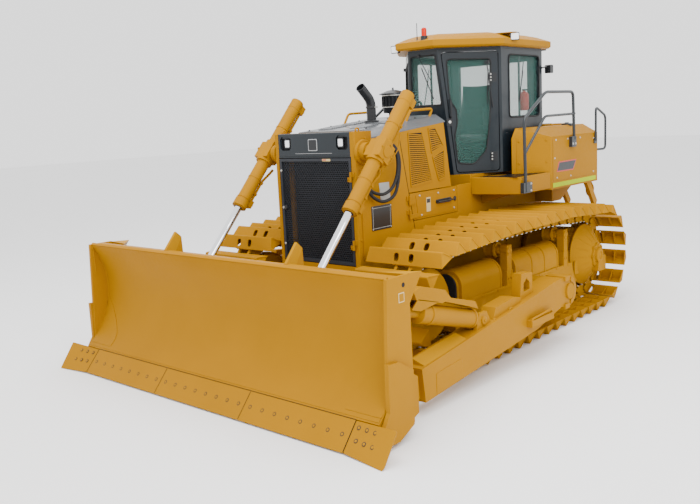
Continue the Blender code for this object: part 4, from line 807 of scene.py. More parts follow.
@dataclass
class Tracks:
    """Chains with hollow ridge shoes."""

    middle: float = 1.125
    width: float = 0.91
    base: float = 0.085
    crest: float = 0.2
    share: float = 0.93
    sheet: float = 0.013
    lean: float = 0.03
    ribs: tuple[float, ...] = (-0.303, -0.152, 0.0, 0.152, 0.303)
    hole_across: float = 0.087

    def section(self, half: float, inset: float) -> list[Flat]:
        """Return the ridge's outline as (along, outward).

        Args:
            half: Half of its base.
            inset: How far inside the outer skin it lies.

        Returns:
            The outline.
        """
        top = arc((0.0, self.crest - 0.016), 0.016, 35, 145, 5)
        slope = inset * 1.25
        outline = [(half - slope, self.base + inset * 0.2), *[(a, o - slope) for a, o in top]]
        return [*outline, (-half + slope, self.base + inset * 0.2)]

    def ring(self, x: float, outline: Sequence[Flat]) -> list[Point]:
        """Place an outline at one end of a shoe, whose ends lean inward to the crest.

        Args:
            x: Place across the shoe.
            outline: Points as (along, outward).

        Returns:
            The ring.
        """
        rise = self.crest - self.base
        return [(x * (1 - self.lean * max(0.0, o - self.base) / rise / 0.455), a, o) for a, o in outline]

    def shoe(self, pitch: float) -> Workpiece:
        """Build one shoe about the link's middle.

        Args:
            pitch: Distance between two shoes.

        Returns:
            The shoe.
        """
        half, end = pitch * self.share / 2, self.width / 2
        outer = self.section(half, 0.0)
        inner = list(reversed(self.section(half, self.sheet)))
        work = Workpiece()
        work.loft([self.ring(x, outer + inner) for x in (-end, end)], WORK_YELLOW)
        slope = Vector((0, -(half - 0.012), self.crest - self.base)).normalized()
        out = Vector((0, slope.z, -slope.y))
        slot = oblong((-0.028, -0.04), (0.028, 0.04), 0.026)
        for sign in (-1, 1):
            hole = Workpiece()
            middle = Vector((sign * self.hole_across, 0.056, 0.141))
            hole.plate(middle + out * 0.05, LEFT, slope, slot, 0.08, WORK_YELLOW)
            work.carve(hole)
        wall = self.section(half, self.sheet * 0.8)
        for x in (-end + 0.006, *self.ribs, end - 0.018):
            work.loft([self.ring(x, wall), self.ring(x + 0.012, wall)], WORK_YELLOW)
        work.box(
            (-0.12, -half + 0.004, self.base - 0.012), (0.12, half - 0.004, self.base + 0.004), WORK_YELLOW)
        return work

    def link(self, pitch: float) -> Workpiece:
        """Build one pair of links with its bushing and bolts.

        Args:
            pitch: Distance between two shoes.

        Returns:
            The link pair.
        """
        work = Workpiece()
        side = rounded(
            [(-0.145, -0.045), (0.145, -0.045), (0.15, 0.03), (0.08, 0.078), (-0.08, 0.078), (-0.15, 0.03)],
            0.04, 3)
        for sign in (-1, 1):
            low, high = sorted((sign * 0.068, sign * 0.098))
            work.prism("X", low, high, side, WORK_YELLOW)
            for along in (-0.055, 0.055):
                work.bolt((sign * 0.083, along, -0.046), DOWN, 0.013, STEEL)
        work.rod((-0.115, -pitch / 2, 0), (0.115, -pitch / 2, 0), 0.03, WORK_YELLOW, 14)
        return work

    def build(self) -> None:
        """Build both tracks."""
        line = ChainLine()
        places = [Matrix.Translation((self.middle, 0, 0)) @ place for place in line.places()]
        shoe = self.shoe(line.pitch)
        shoe.softened(0.0025)
        shoe.stamped(places).place_pair("track_shoes", "chassis", 0.0, "track")
        self.link(line.pitch).stamped(places).place_pair("track_links", "chassis")


@dataclass
class Undercarriage:
    """Track frames with rollers, idlers, covers and final drives."""

    middle: float = 1.125
    idler_y: float = -1.1
    sprocket_y: float = 2.22
    wheel_z: float = 0.655
    roller_z: float = 0.386
    roller_count: int = 7
    carriers: tuple[float, float] = (0.28, 1.63)
    drive_face: float = 1.43

    def rollers(self) -> None:
        """Build the flanged track rollers and carrier rollers."""
        work = Workpiece()
        span = (self.sprocket_y - 0.42) - (self.idler_y + 0.42)
        profile = (
            (0.0, 0.07), (0.0, 0.092), (0.012, 0.124), (0.03, 0.128), (0.04, 0.112), (0.12, 0.112),
            (0.124, 0.118), (0.15, 0.118), (0.156, 0.112), (0.236, 0.112), (0.246, 0.128), (0.264, 0.124),
            (0.276, 0.092), (0.276, 0.07))
        for i in range(self.roller_count):
            y = self.idler_y + 0.5 + (span - 0.16) * i / (self.roller_count - 1)
            work.lathe((self.middle - 0.138, y, self.roller_z), LEFT, profile, WORK_YELLOW, 28)
            for sign in (-1, 1):
                low, high = sorted((sign * 0.14, sign * 0.172))
                work.box(
                    (self.middle + low, y - 0.05, self.roller_z - 0.045),
                    (self.middle + high, y + 0.05, self.roller_z + 0.05), WORK_YELLOW)
                for step in (-0.034, 0.034):
                    work.bolt(
                        (self.middle + sign * 0.172, y + step, self.roller_z - 0.025), (sign, 0, 0), 0.011)
        top = self.wheel_z + 0.455 + 0.058 - 0.07 - 0.012 - 0.085
        for y, drop in zip(self.carriers, (0.0, 0.012)):
            z = top - drop
            work.lathe(
                (self.middle - 0.112, y, z), LEFT,
                (
                    (0, 0.05), (0, 0.08), (0.012, 0.092), (0.03, 0.086), (0.034, 0.075), (0.106, 0.075),
                    (0.11, 0.086), (0.128, 0.092), (0.14, 0.08), (0.14, 0.05)),
                WORK_YELLOW, 28)
            work.lathe(
                (self.middle + 0.02, y, z), LEFT, ((0, 0.058), (0.045, 0.058), (0.05, 0.05)), WORK_YELLOW, 20)
            out = self.middle + 0.17
            work.lathe(
                (out - 0.095, y, z), LEFT, ((0, 0.055), (0.097, 0.055), (0.102, 0.048)), WORK_YELLOW, 20)
            for turn in range(4):
                spot = (
                    out + 0.003, y + 0.036 * cos(radians(45 + 90 * turn)),
                    z + 0.036 * sin(radians(45 + 90 * turn)))
                work.bolt(spot, LEFT, 0.008)
            for sign in (-1, 1):
                work.bolt((out, y + sign * 0.032, 0.7), LEFT, 0.012)
                work.box(
                    (out - 0.1, y + sign * 0.055 - 0.008, 0.6), (out + 0.004, y + sign * 0.055 + 0.008, 0.78),
                    WORK_YELLOW)
        work.place_pair("rollers", "chassis", 0.002)

    def covers(self) -> None:
        """Build the bands, end rings and guards of the round spring covers."""
        work = Workpiece()
        half, crown = 0.16, 0.77
        for low, high in (
            (-0.662, -0.64), (0.096, 0.122), (0.418, 0.44), (0.8, 0.812), (1.1, 1.125), (1.42, 1.445)
        ):
            points = [
                (self.middle + half + 0.006, 0.6), *arc((self.middle, crown), half + 0.006, 0, 180, 17),
                (self.middle - half - 0.006, 0.6)]
            work.prism("Y", low, high, points, WORK_YELLOW)
        # The deeper ring is near black: painted shade inside the cover's open end.
        for low, high in ((-0.69, -0.664), (-0.72, -0.7)):
            points = [
                (self.middle + half - 0.03, 0.6), *arc((self.middle, crown), half - 0.03, 0, 180, 17),
                (self.middle - half + 0.03, 0.6)]
            work.prism("Y", low, high, points, DARK_PARTS_AND_SHADE if high < -0.69 else WORK_YELLOW)
        out = self.middle + 0.17
        work.prism("X", out - 0.004, out + 0.006, oblong((-0.66, 0.595), (1.44, 0.625), 0.01), WORK_YELLOW)
        for y in (-0.6, -0.3, 0.02, 0.55, 0.95, 1.38):
            work.bolt((out + 0.005, y, 0.61), LEFT, 0.01)
        work.prism(
            "X", out - 0.002, out + 0.01,
            rounded(
                [(-0.55, 0.345), (1.7, 0.345), (1.78, 0.4), (1.78, 0.47), (-0.62, 0.47), (-0.62, 0.4)], 0.03),
            WORK_YELLOW)
        for i in range(9):
            work.bolt((out + 0.01, -0.5 + 0.27 * i, 0.44), LEFT, 0.011)
        work.prism(
            "X", out - 0.01, out + 0.008,
            rounded([(1.86, 0.45), (2.45, 0.45), (2.45, 0.6), (2.36, 0.62), (1.86, 0.62)], 0.03), WORK_YELLOW)
        for y in (1.95, 2.1, 2.25):
            work.bolt((out + 0.008, y, 0.585), LEFT, 0.011)
        work.box((out - 0.1, 2.33, 0.43), (out + 0.14, 2.48, 0.62), WORK_YELLOW)
        work.place_pair("frame_covers", "chassis", 0.002)

    def drives(self) -> None:
        """Build the ribbed cone and bolted bearing cap of the final drives."""
        work = Workpiece()
        y, z, face = self.sprocket_y, self.wheel_z, self.drive_face
        work.lathe(
            (face - 0.2, y, z), LEFT,
            ((0, 0.375), (0.018, 0.385), (0.03, 0.375), (0.175, 0.185), (0.19, 0.17), (0.2, 0.1)),
            WORK_YELLOW, 48)
        for i in range(16):
            turn = 2 * pi * i / 16
            near = Vector((face - 0.168, y + 0.368 * cos(turn), z + 0.368 * sin(turn)))
            far = Vector((face - 0.026, y + 0.188 * cos(turn), z + 0.188 * sin(turn)))
            work.bar(near, far, 0.006, 0.006, WORK_YELLOW)
        lobes = []
        for i in range(48):
            turn = 2 * pi * i / 48
            reach = 0.15 + 0.01 * cos(8 * turn)
            lobes.append((y + reach * cos(turn), z + reach * sin(turn)))
        work.prism("X", face - 0.012, face + 0.016, lobes, WORK_YELLOW)
        work.lathe(
            (face + 0.014, y, z), LEFT,
            ((0, 0.098), (0.03, 0.092), (0.036, 0.08), (0.037, 0.05), (0.026, 0.045), (0.026, 0.01)),
            WORK_YELLOW, 32)
        for i in range(8):
            turn = 2 * pi * i / 8
            work.bolt((face + 0.016, y + 0.13 * cos(turn), z + 0.13 * sin(turn)), LEFT, 0.014)
        work.prism(
            "X", face - 0.03, face + 0.05,
            rounded(
                [(y - 0.075, z - 0.2), (y + 0.075, z - 0.2), (y + 0.06, z - 0.08), (y - 0.06, z - 0.08)], 0.02
            ),
            WORK_YELLOW)
        work.place_pair("drive_caps", "chassis", 0.002)

    def build(self) -> None:
        """Build everything between the chains."""
        dress_pair("track_frame", WORK_YELLOW, 0.003)
        dress_pair("idler", WORK_YELLOW, 0.004)
        dress_pair("sprocket", WORK_YELLOW, 0.004)
        self.rollers()
        self.covers()
        self.drives()


# ================================================================ blade and linkage
@dataclass
class Blade:
    """Moldboard with cutting edges, bolts, wear plates and welds."""

    half: float = 2.033
    arm_x: float = 1.745
    edge_top: Flat = (-2.92, 0.223)
    edge_tip: Flat = (-3.1, 0.015)
    joints: tuple[float, ...] = (-0.597, 0.597)
    bit_x: float = 1.792
    top: Flat = (-2.77, 1.307)
    belly: Flat = (-2.615, 0.825)

    def face_curve(self, offset: float, low: float, high: float, count: int) -> list[Flat]:
        """Return points of the moldboard's hollow face between two heights.

        Args:
            offset: Distance behind the face; below zero stands proud.
            low: Lower height.
            high: Upper height.
            count: Number of points.

        Returns:
            The points as (y, z), from the top down.
        """
        (ax, ay), (bx, by), (cx, cy) = self.top, self.belly, self.edge_top
        scale = 2 * (ax * (by - cy) + bx * (cy - ay) + cx * (ay - by))
        ux = ((ax**2 + ay**2) * (by - cy) + (bx**2 + by**2) * (cy - ay) + (cx**2 + cy**2) * (ay - by)) / scale
        uy = ((ax**2 + ay**2) * (cx - bx) + (bx**2 + by**2) * (ax - cx) + (cx**2 + cy**2) * (bx - ax)) / scale
        radius = hypot(ax - ux, ay - uy)
        points = []
        for i in range(count):
            z = high + (low - high) * i / (count - 1)
            y = ux + (radius**2 - (z - uy) ** 2) ** 0.5
            out = Vector((y - ux, z - uy)).normalized()
            points.append((y + out.x * offset, z + out.y * offset))
        return points

    def wear_plates(self, work: Workpiece) -> None:
        """Add the plates over the lower corners of the face.

        Args:
            work: Workpiece to add to.
        """
        for sign in (-1, 1):
            front, back = self.face_curve(-0.007, 0.26, 0.72, 9), self.face_curve(0.004, 0.26, 0.72, 9)
            outer = self.half - 0.031
            rows = []
            for i, (near, far) in enumerate(zip(front, back)):
                share = i / 8
                inner = outer - 0.02 - 0.34 * min(1.0, share * 1.25)
                ring = [(outer, *near), (inner, *near), (inner, *far), (outer, *far)]
                rows.append([(sign * x, y, z) for x, y, z in ring])
            work.loft(rows)

    def edge_point(self, x: float, down: float, proud: float) -> Vector:
        """Return a point on the cutting edge's front.

        Args:
            x: Place across the machine.
            down: Share of the way down.
            proud: Distance in front of it.

        Returns:
            The point.
        """
        run = Vector((0, self.edge_tip[0] - self.edge_top[0], self.edge_tip[1] - self.edge_top[1]))
        out = Vector((0, run.z, -run.y)).normalized()
        return Vector((x, *self.edge_top)) + run * down + out * proud

    def bolts(self, work: Workpiece) -> None:
        """Add the sunk bolts and the joints of the cutting edges.

        Args:
            work: Workpiece to add to.
        """
        run = run_of(self.edge_top, self.edge_tip)
        out = Vector((0, run.z, -run.y))
        stops = (-self.bit_x, *self.joints, self.bit_x)
        spots = []
        for low, high in zip(stops, stops[1:]):
            for i in range(8):
                x = low + (high - low) * (i + 0.5) / 8
                spots.append((self.edge_point(x, 0.5, 0.0), out))
        for sign in (-1, 1):
            for column in range(3):
                for row in (0.2, 0.56):
                    x = self.bit_x + 0.06 + column * 0.09 + (row - 0.2) * 0.06
                    share = (x - self.bit_x) / 0.428
                    spot = self.edge_point(sign * x, row, 0.0)
                    spot += Vector((
                        0, -0.061 * share * (1 - row) - 0.057 * share * row,
                        0.027 * share * (1 - row) - 0.014 * share * row))
                    spots.append((spot, out))
        for spot, normal in spots:
            work.lathe(
                spot - normal * 0.004, normal, ((0, 0.018), (0.0046, 0.018), (0.0052, 0.016)), IRON, 20)
            work.lathe(
                spot - normal * 0.004, normal, ((0, 0.011), (0.0062, 0.011), (0.0072, 0.009)), WORK_YELLOW, 20
            )
        for x in (*self.joints, -self.bit_x, self.bit_x):
            work.bar(self.edge_point(x, 0.03, 0.0004), self.edge_point(x, 0.97, 0.0004), 0.005, 0.003, DARK_PARTS_AND_SHADE)
        ends = [self.edge_point(x, 0.005, 0.0008) for x in (-self.bit_x, self.bit_x)]
        work.bar(*ends, 0.006, 0.003, DARK_PARTS_AND_SHADE)

    def trim(self) -> None:
        """Build bolts, plates, welds and the end plates' details."""
        work = Workpiece()
        near, far = (self.face_curve(offset, 0.235, 1.296, 30) for offset in (-0.0025, 0.005))
        work.prism("X", 0.034 - self.half, self.half - 0.034, [*near, *reversed(far)])
        self.wear_plates(work)
        self.bolts(work)
        for sign in (-1, 1):
            face = sign * self.half
            # A near-black disc on the end plate: painted shade standing in for a hole.
            work.lathe(
                (face - sign * 0.002, -2.585, 1.235), (sign, 0, 0),
                ((0, 0.019), (0.003, 0.019), (0.0035, 0.017)), DARK_PARTS_AND_SHADE, 20)
            work.prism("X", face, face + sign * 0.0025, oblong((-2.65, 1.105), (-2.58, 1.18), 0.006), CREAM)
            work.prism("X", face, face + sign * 0.0035, oblong((-2.643, 1.112), (-2.587, 1.173), 0.004))
            for y, z in ((self.top[0] + 0.012, 1.3), (-2.66, 0.66)):
                work.rod(
                    (face - sign * 0.034, y, z), (face - sign * 0.034, y + 0.01, z - 0.3), 0.006, YELLOW, 8)
            work.tube(
                [(sign * (self.half - 0.032), y, z) for y, z in self.face_curve(-0.001, 0.27, 1.29, 24)],
                0.006, YELLOW, 8)
            work.lathe(
                (sign * (self.arm_x + 0.083), -2.26, 0.215), (sign, 0, 0),
                ((0, 0.064), (0.018, 0.064), (0.022, 0.056), (0.023, 0.032), (0.03, 0.03), (0.034, 0.024)),
                YELLOW, 28)
            for dy, dz in ((0.052, 0.1), (0.052, 0.16)):
                work.bolt((sign * (self.arm_x + 0.092), -2.26 - dy, 0.215 + dz), (sign, 0, 0), 0.013)
            for y, z, x in ((-2.34, 0.945, self.arm_x + 0.074), (-2.45, 0.84, 0.775 + 0.072)):
                work.lathe(
                    (sign * (x - 0.002), y, z), (sign, 0, 0), ((0, 0.05), (0.014, 0.05), (0.018, 0.042)),
                    YELLOW, 24)
                work.bolt((sign * (x + 0.014), y, z), (sign, 0, 0), 0.016)
        work.place("blade_trim", "blade", 0.0)
        ribs = Workpiece()
        near = self.face_curve(0.02, 0.52, 1.14, 9)
        for x in (-1.45, -1.1, -0.38, 0.0, 0.38, 1.1, 1.45):
            ribs.prism(
                "X", x - 0.012, x + 0.012,
                [*near, (-2.43, 0.44), (-2.5, 0.66), (-2.555, 0.98), (-2.575, 1.12)])
        ribs.place("blade_ribs", "blade", 0.003)

    def build(self) -> None:
        """Build the blade."""

        def tips(middle: Vector, normal: Vector) -> Finish | None:
            """Pick the lighter yellow, a painted highlight, for the ears and the up-facing faces of the
            gussets behind the blade.

            Args:
                middle: Middle of the face.
                normal: Normal of the face.

            Returns:
                The finish, or None for the piece's own.
            """
            # Ears and up-facing gusset faces get the lighter yellow: painted highlight.
            ear = middle.z > 1.31 and middle.y > -2.68
            gusset = abs(middle.x) > 1.68 and -2.56 < middle.y and middle.z > 1.05 and normal.z > 0.3
            return HIGHLIGHT_YELLOW if ear or gusset else None
        board = Workpiece()
        board.cast("moldboard", YELLOW, tips)
        hollow = Workpiece()
        curve = self.face_curve(0.001, 0.232, 1.3, 36)
        hollow.prism("X", 0.031 - self.half, self.half - 0.031, [*curve, (-3.02, 0.232), (-3.02, 1.3)])
        board.carve(hollow)
        board.place("moldboard.body", "blade", 0.0025, ("moldboard",))
        dress("cutting_edge", YELLOW, 0.002, body="blade")
        dress_pair("end_bit", YELLOW, 0.012, body="blade")
        self.trim()


@dataclass
class PushArms:
    """Push arms with their pivot caps, steps and boss plates, and the struts above them."""

    inner: float = 1.63
    outer: float = 1.86
    pivot: Flat = (0.55, 0.56)
    strut_rear: Flat = (-1.12, 0.604)
    strut_front: Flat = (-2.34, 0.945)

    def along_strut(self, share: float, up: float) -> Flat:
        """Return a point beside the strut's axis.

        Args:
            share: Distance from the rear pin.
            up: Distance above the axis.

        Returns:
            The point as (y, z).
        """
        run = Vector(
            (self.strut_front[0] - self.strut_rear[0], self.strut_front[1] - self.strut_rear[1])).normalized()
        return (
            self.strut_rear[0] + run.x * share + run.y * up, self.strut_rear[1] + run.y * share - run.x * up)

    def arm_trim(self) -> None:
        """Build the details that sit on the push arms."""
        work = Workpiece()
        middle = (self.inner + self.outer) / 2
        # The top chamfer bar takes the lighter yellow: painted highlight on its up-facing face.
        work.loft(
            [
                [
                    (self.inner + 0.04, -2.09, 0.425), (self.outer - 0.02, -2.09, 0.425),
                    (self.outer - 0.02, -2.09, 0.432), (self.inner + 0.09, -2.09, 0.475)],
                [
                    (self.inner + 0.04, -1.44, 0.5), (self.outer - 0.02, -1.44, 0.5),
                    (self.outer - 0.02, -1.44, 0.507), (self.inner + 0.09, -1.44, 0.55)]],
            HIGHLIGHT_YELLOW)
        py, pz = self.pivot
        work.prism(
            "X", self.outer - 0.02, self.outer + 0.012,
            [*arc((py, pz), 0.15, -80, 80, 15), *reversed(arc((py, pz), 0.102, -80, 80, 15))])
        for step, height in ((-0.075, 0.15), (-0.075, -0.15)):
            work.box(
                (self.inner + 0.02, py + step - 0.05, pz + height - 0.025),
                (self.outer + 0.02, py + step + 0.045, pz + height + 0.025))
            for x in (self.inner + 0.07, self.outer - 0.03):
                work.bolt((x, py + step + 0.045, pz + height), REAR, 0.017)
        for y, z in ((-0.934, 0.53), (-0.64, 0.575)):
            work.lathe(
                (middle + 0.073, y, z + 0.02), LEFT,
                ((0, 0.034), (0.016, 0.034), (0.02, 0.03), (0.02, 0.016), (0.012, 0.014)), YELLOW, 20)
            work.lathe((middle + 0.08, y, z + 0.02), LEFT, ((0, 0.015), (0.009, 0.015)), IRON, 12)
        work.tube(
            bent_path(
                [
                    (self.outer + 0.045, -0.36, 0.4), (self.outer + 0.045, -0.36, 0.452),
                    (self.outer + 0.045, 0.06, 0.475), (self.outer + 0.045, 0.06, 0.43)],
                0.03),
            0.011, YELLOW, 10)
        work.prism(
            "X", self.outer - 0.002, self.outer + 0.004,
            rounded([(-1.95, 0.14), (-1.55, 0.18), (-1.55, 0.36), (-1.95, 0.33)], 0.02))
        work.place_pair("arm_trim", "blade", 0.003)

    def strut_trim(self) -> None:
        """Build the guard over the tilt cylinder, glands, hoses and pins."""
        guard = Workpiece()
        outline = [
            self.along_strut(*p)
            for p in (
                (0.13, 0.1), (0.2, 0.165), (0.6, 0.165), (0.7, 0.225), (1.06, 0.225), (1.16, 0.17),
                (1.1, 0.105), (0.72, 0.108), (0.68, 0.125), (0.3, 0.11))]
        middle = (self.inner + self.outer) / 2
        guard.prism("X", middle - 0.082, middle + 0.088, outline)
        for side in (-1, 1):
            inner, outer = sorted((side * 0.074, side * 0.088))
            guard.prism(
                "X", middle + inner, middle + outer,
                [self.along_strut(*p) for p in ((0.76, 0.12), (1.08, 0.12), (1.14, 0.02), (1.02, 0.02))])
        guard.place("tilt_guard.left", "blade", 0.004)
        work = Workpiece()
        run = run_of(self.strut_rear, self.strut_front)
        start = Vector((middle, *self.strut_rear))
        for sign, radius in ((1, 0.088), (-1, 0.06)):
            foot = Vector((sign * start.x, start.y, start.z))
            for far, thick, more in ((0.115, 0.03, 0.006), (0.8, 0.028, 0.007)):
                work.lathe(
                    foot + run * far, run,
                    (
                        (0, radius - 0.002), (0.003, radius + more), (thick, radius + more),
                        (thick + 0.003, radius - 0.002)),
                    YELLOW, 32)
            for side in (-1, 1):
                out = sign * side
                work.lathe(
                    (foot.x + out * 0.074, *self.strut_rear), (out, 0, 0),
                    ((0, 0.04), (0.014, 0.04), (0.018, 0.033)), YELLOW, 24)
                work.bolt((foot.x + out * 0.088, *self.strut_rear), (out, 0, 0), 0.014)
        for drop in (0.0, 0.045):
            path = [
                start + Vector((-0.09 - drop, 0, 0)) + run * s + Vector((0, 0, up))
                for s, up in (
                    (0.95, 0.03), (0.8, 0.09), (0.45, 0.07), (0.15, 0.03), (-0.1, 0.02), (-0.35, 0.06))]
            work.tube(smooth_path(path), 0.014, RUBBER, 10)
        work.place("strut_trim", "blade", 0.0)

    def build(self) -> None:
        """Build arms and struts."""
        dress_pair("push_arm", YELLOW, 0.005, body="blade")
        dress("tilt_cylinder", YELLOW, 0.003, body="blade")
        dress("brace", YELLOW, 0.003, body="blade")
        self.arm_trim()
        self.strut_trim()


@dataclass
class LiftCylinders:
    """Lift cylinders with end caps, pipes, port blocks, hoses and chrome rods."""

    x: float = 0.775
    pivot: Flat = (-1.248, 2.167)
    eye: Flat = (-2.45, 0.84)
    radius: float = 0.07
    back: float = 0.733
    ahead: float = 0.718

    def point(self, along: float, under: float, across_x: float = 0.0) -> Vector:
        """Return a point beside the left cylinder's axis.

        Args:
            along: Distance from the pivot toward the blade.
            under: Distance to its underside.
            across_x: Distance outward.

        Returns:
            The point.
        """
        run = run_of(self.pivot, self.eye)
        down = Vector((0, -run.z, run.y))
        return Vector((self.x + across_x, *self.pivot)) + run * along + down * under

    def build(self) -> None:
        """Build both cylinders."""
        run = (self.point(1, 0) - self.point(0, 0)).normalized()
        dress_pair("lift_barrel", YELLOW, 0.004, body="lift_barrel_{side}")
        def shaft(middle: Vector, normal: Vector) -> Finish | None:
            """Pick enamel for the rod's eye."""
            return YELLOW if hypot(middle.y - self.eye[0], middle.z - self.eye[1]) < 0.085 else None
        dress_pair("lift_rod", CHROME, 0.0, shaft, "lift_rod_{side}")
        work = Workpiece()
        for along, thick, more in (
            (-self.back + 0.105, 0.01, 0.0022), (self.ahead - 0.115, 0.012, 0.0045), (-0.34, 0.016, 0.004),
            (0.34, 0.016, 0.004)
        ):
            work.lathe(
                self.point(along, 0), run,
                (
                    (0, self.radius - 0.002), (0.002, self.radius + more), (thick, self.radius + more),
                    (thick + 0.002, self.radius - 0.002)),
                YELLOW, 36)
        work.lathe(
            self.point(self.ahead - 0.004, 0), run,
            ((0, 0.066), (0.01, 0.064), (0.012, 0.045), (0.008, 0.039)), YELLOW, 32)
        work.lathe(
            self.point(self.ahead + 0.004, 0), run, ((0, 0.046), (0.006, 0.046), (0.008, 0.041)), RUBBER, 28)
        pipe_at = self.radius + 0.034
        for along, long in ((-self.back + 0.045, 0.1), (self.ahead - 0.11, 0.085)):
            foot, head = self.point(along, 0.045), self.point(along, pipe_at + 0.022)
            work.bar(foot, head, 0.062, long)
            for side in (-0.018, 0.018):
                work.bolt(self.point(along, pipe_at + 0.022, side), self.point(0, 1) - self.point(0, 0), 0.01)
        path = [
            self.point(-self.back + 0.06, pipe_at), self.point(-0.17, pipe_at),
            self.point(-0.1, pipe_at + 0.02)]
        work.tube(bent_path(path, 0.03), 0.014, YELLOW, 12)
        path = [
            self.point(self.ahead - 0.13, pipe_at), self.point(0.3, pipe_at),
            self.point(0.18, pipe_at + 0.035), self.point(0.12, pipe_at + 0.03, -0.03)]
        work.tube(bent_path(path, 0.03), 0.014, YELLOW, 12)
        for along in (-0.4, 0.33, 0.48):
            work.bar(self.point(along, 0.05), self.point(along, pipe_at + 0.014), 0.04, 0.028)
            work.bolt(self.point(along, pipe_at + 0.014), self.point(0, 1) - self.point(0, 0), 0.008)
        work.tube(
            [
                self.point(-0.3 - 0.01, self.radius + 0.02, 0.055),
                self.point(-0.16, self.radius + 0.09, 0.055), self.point(-0.02, self.radius + 0.085, 0.05),
                self.point(0.16, self.radius + 0.02, 0.05)],
            0.005, YELLOW, 8)
        for side, out in ((-0.094, -1), (0.094, 1)):
            work.lathe(
                (self.x + side, *self.pivot), (out, 0, 0), ((0, 0.058), (0.006, 0.058), (0.01, 0.05)), YELLOW,
                28)
        for dy, dz in ((0.06, 0.06), (-0.06, 0.06), (0.06, -0.06), (-0.06, -0.06)):
            work.bolt((self.x + 0.094, self.pivot[0] + dy, self.pivot[1] + dz), LEFT, 0.011)
        work.place_pair("lift_trim", "lift_barrel_{side}", 0.0015)
        hose = Workpiece()
        for shift, sag in ((0.0, 0.0), (0.03, 0.075)):
            path = [
                (0.668, -1.05 + shift, 2.235), (0.672, -0.93 + shift * 0.6, 2.225),
                (0.67, -0.84 + shift * 0.8, 2.12), (0.665, -0.83 + shift, 1.95),
                (0.655, -0.9 + shift, 1.8 - sag), (0.64, -1.03, 1.735 - sag),
                (0.625, -1.17, 1.76 - sag * 0.7), (0.6, -1.255, 1.83 - sag * 0.3),
                (0.565, -1.26, 1.86 - sag * 0.3)]
            hose.tube(smooth_path(path), 0.017, RUBBER, 14)
            hose.lathe(
                Vector(path[0]) + Vector((0, -0.035, 0)), REAR, ((0, 0.02), (0.05, 0.02), (0.055, 0.018)),
                STEEL, 6)
            hose.lathe(
                (0.556, path[-1][1], path[-1][2]), LEFT,
                ((0, 0.026), (0.02, 0.026), (0.022, 0.02), (0.045, 0.02)), STEEL, 6)
        hose.box((0.555, -1.085, 2.2), (0.69, -1.045, 2.275))
        hose.place_pair("lift_hoses", "chassis", 0.0)


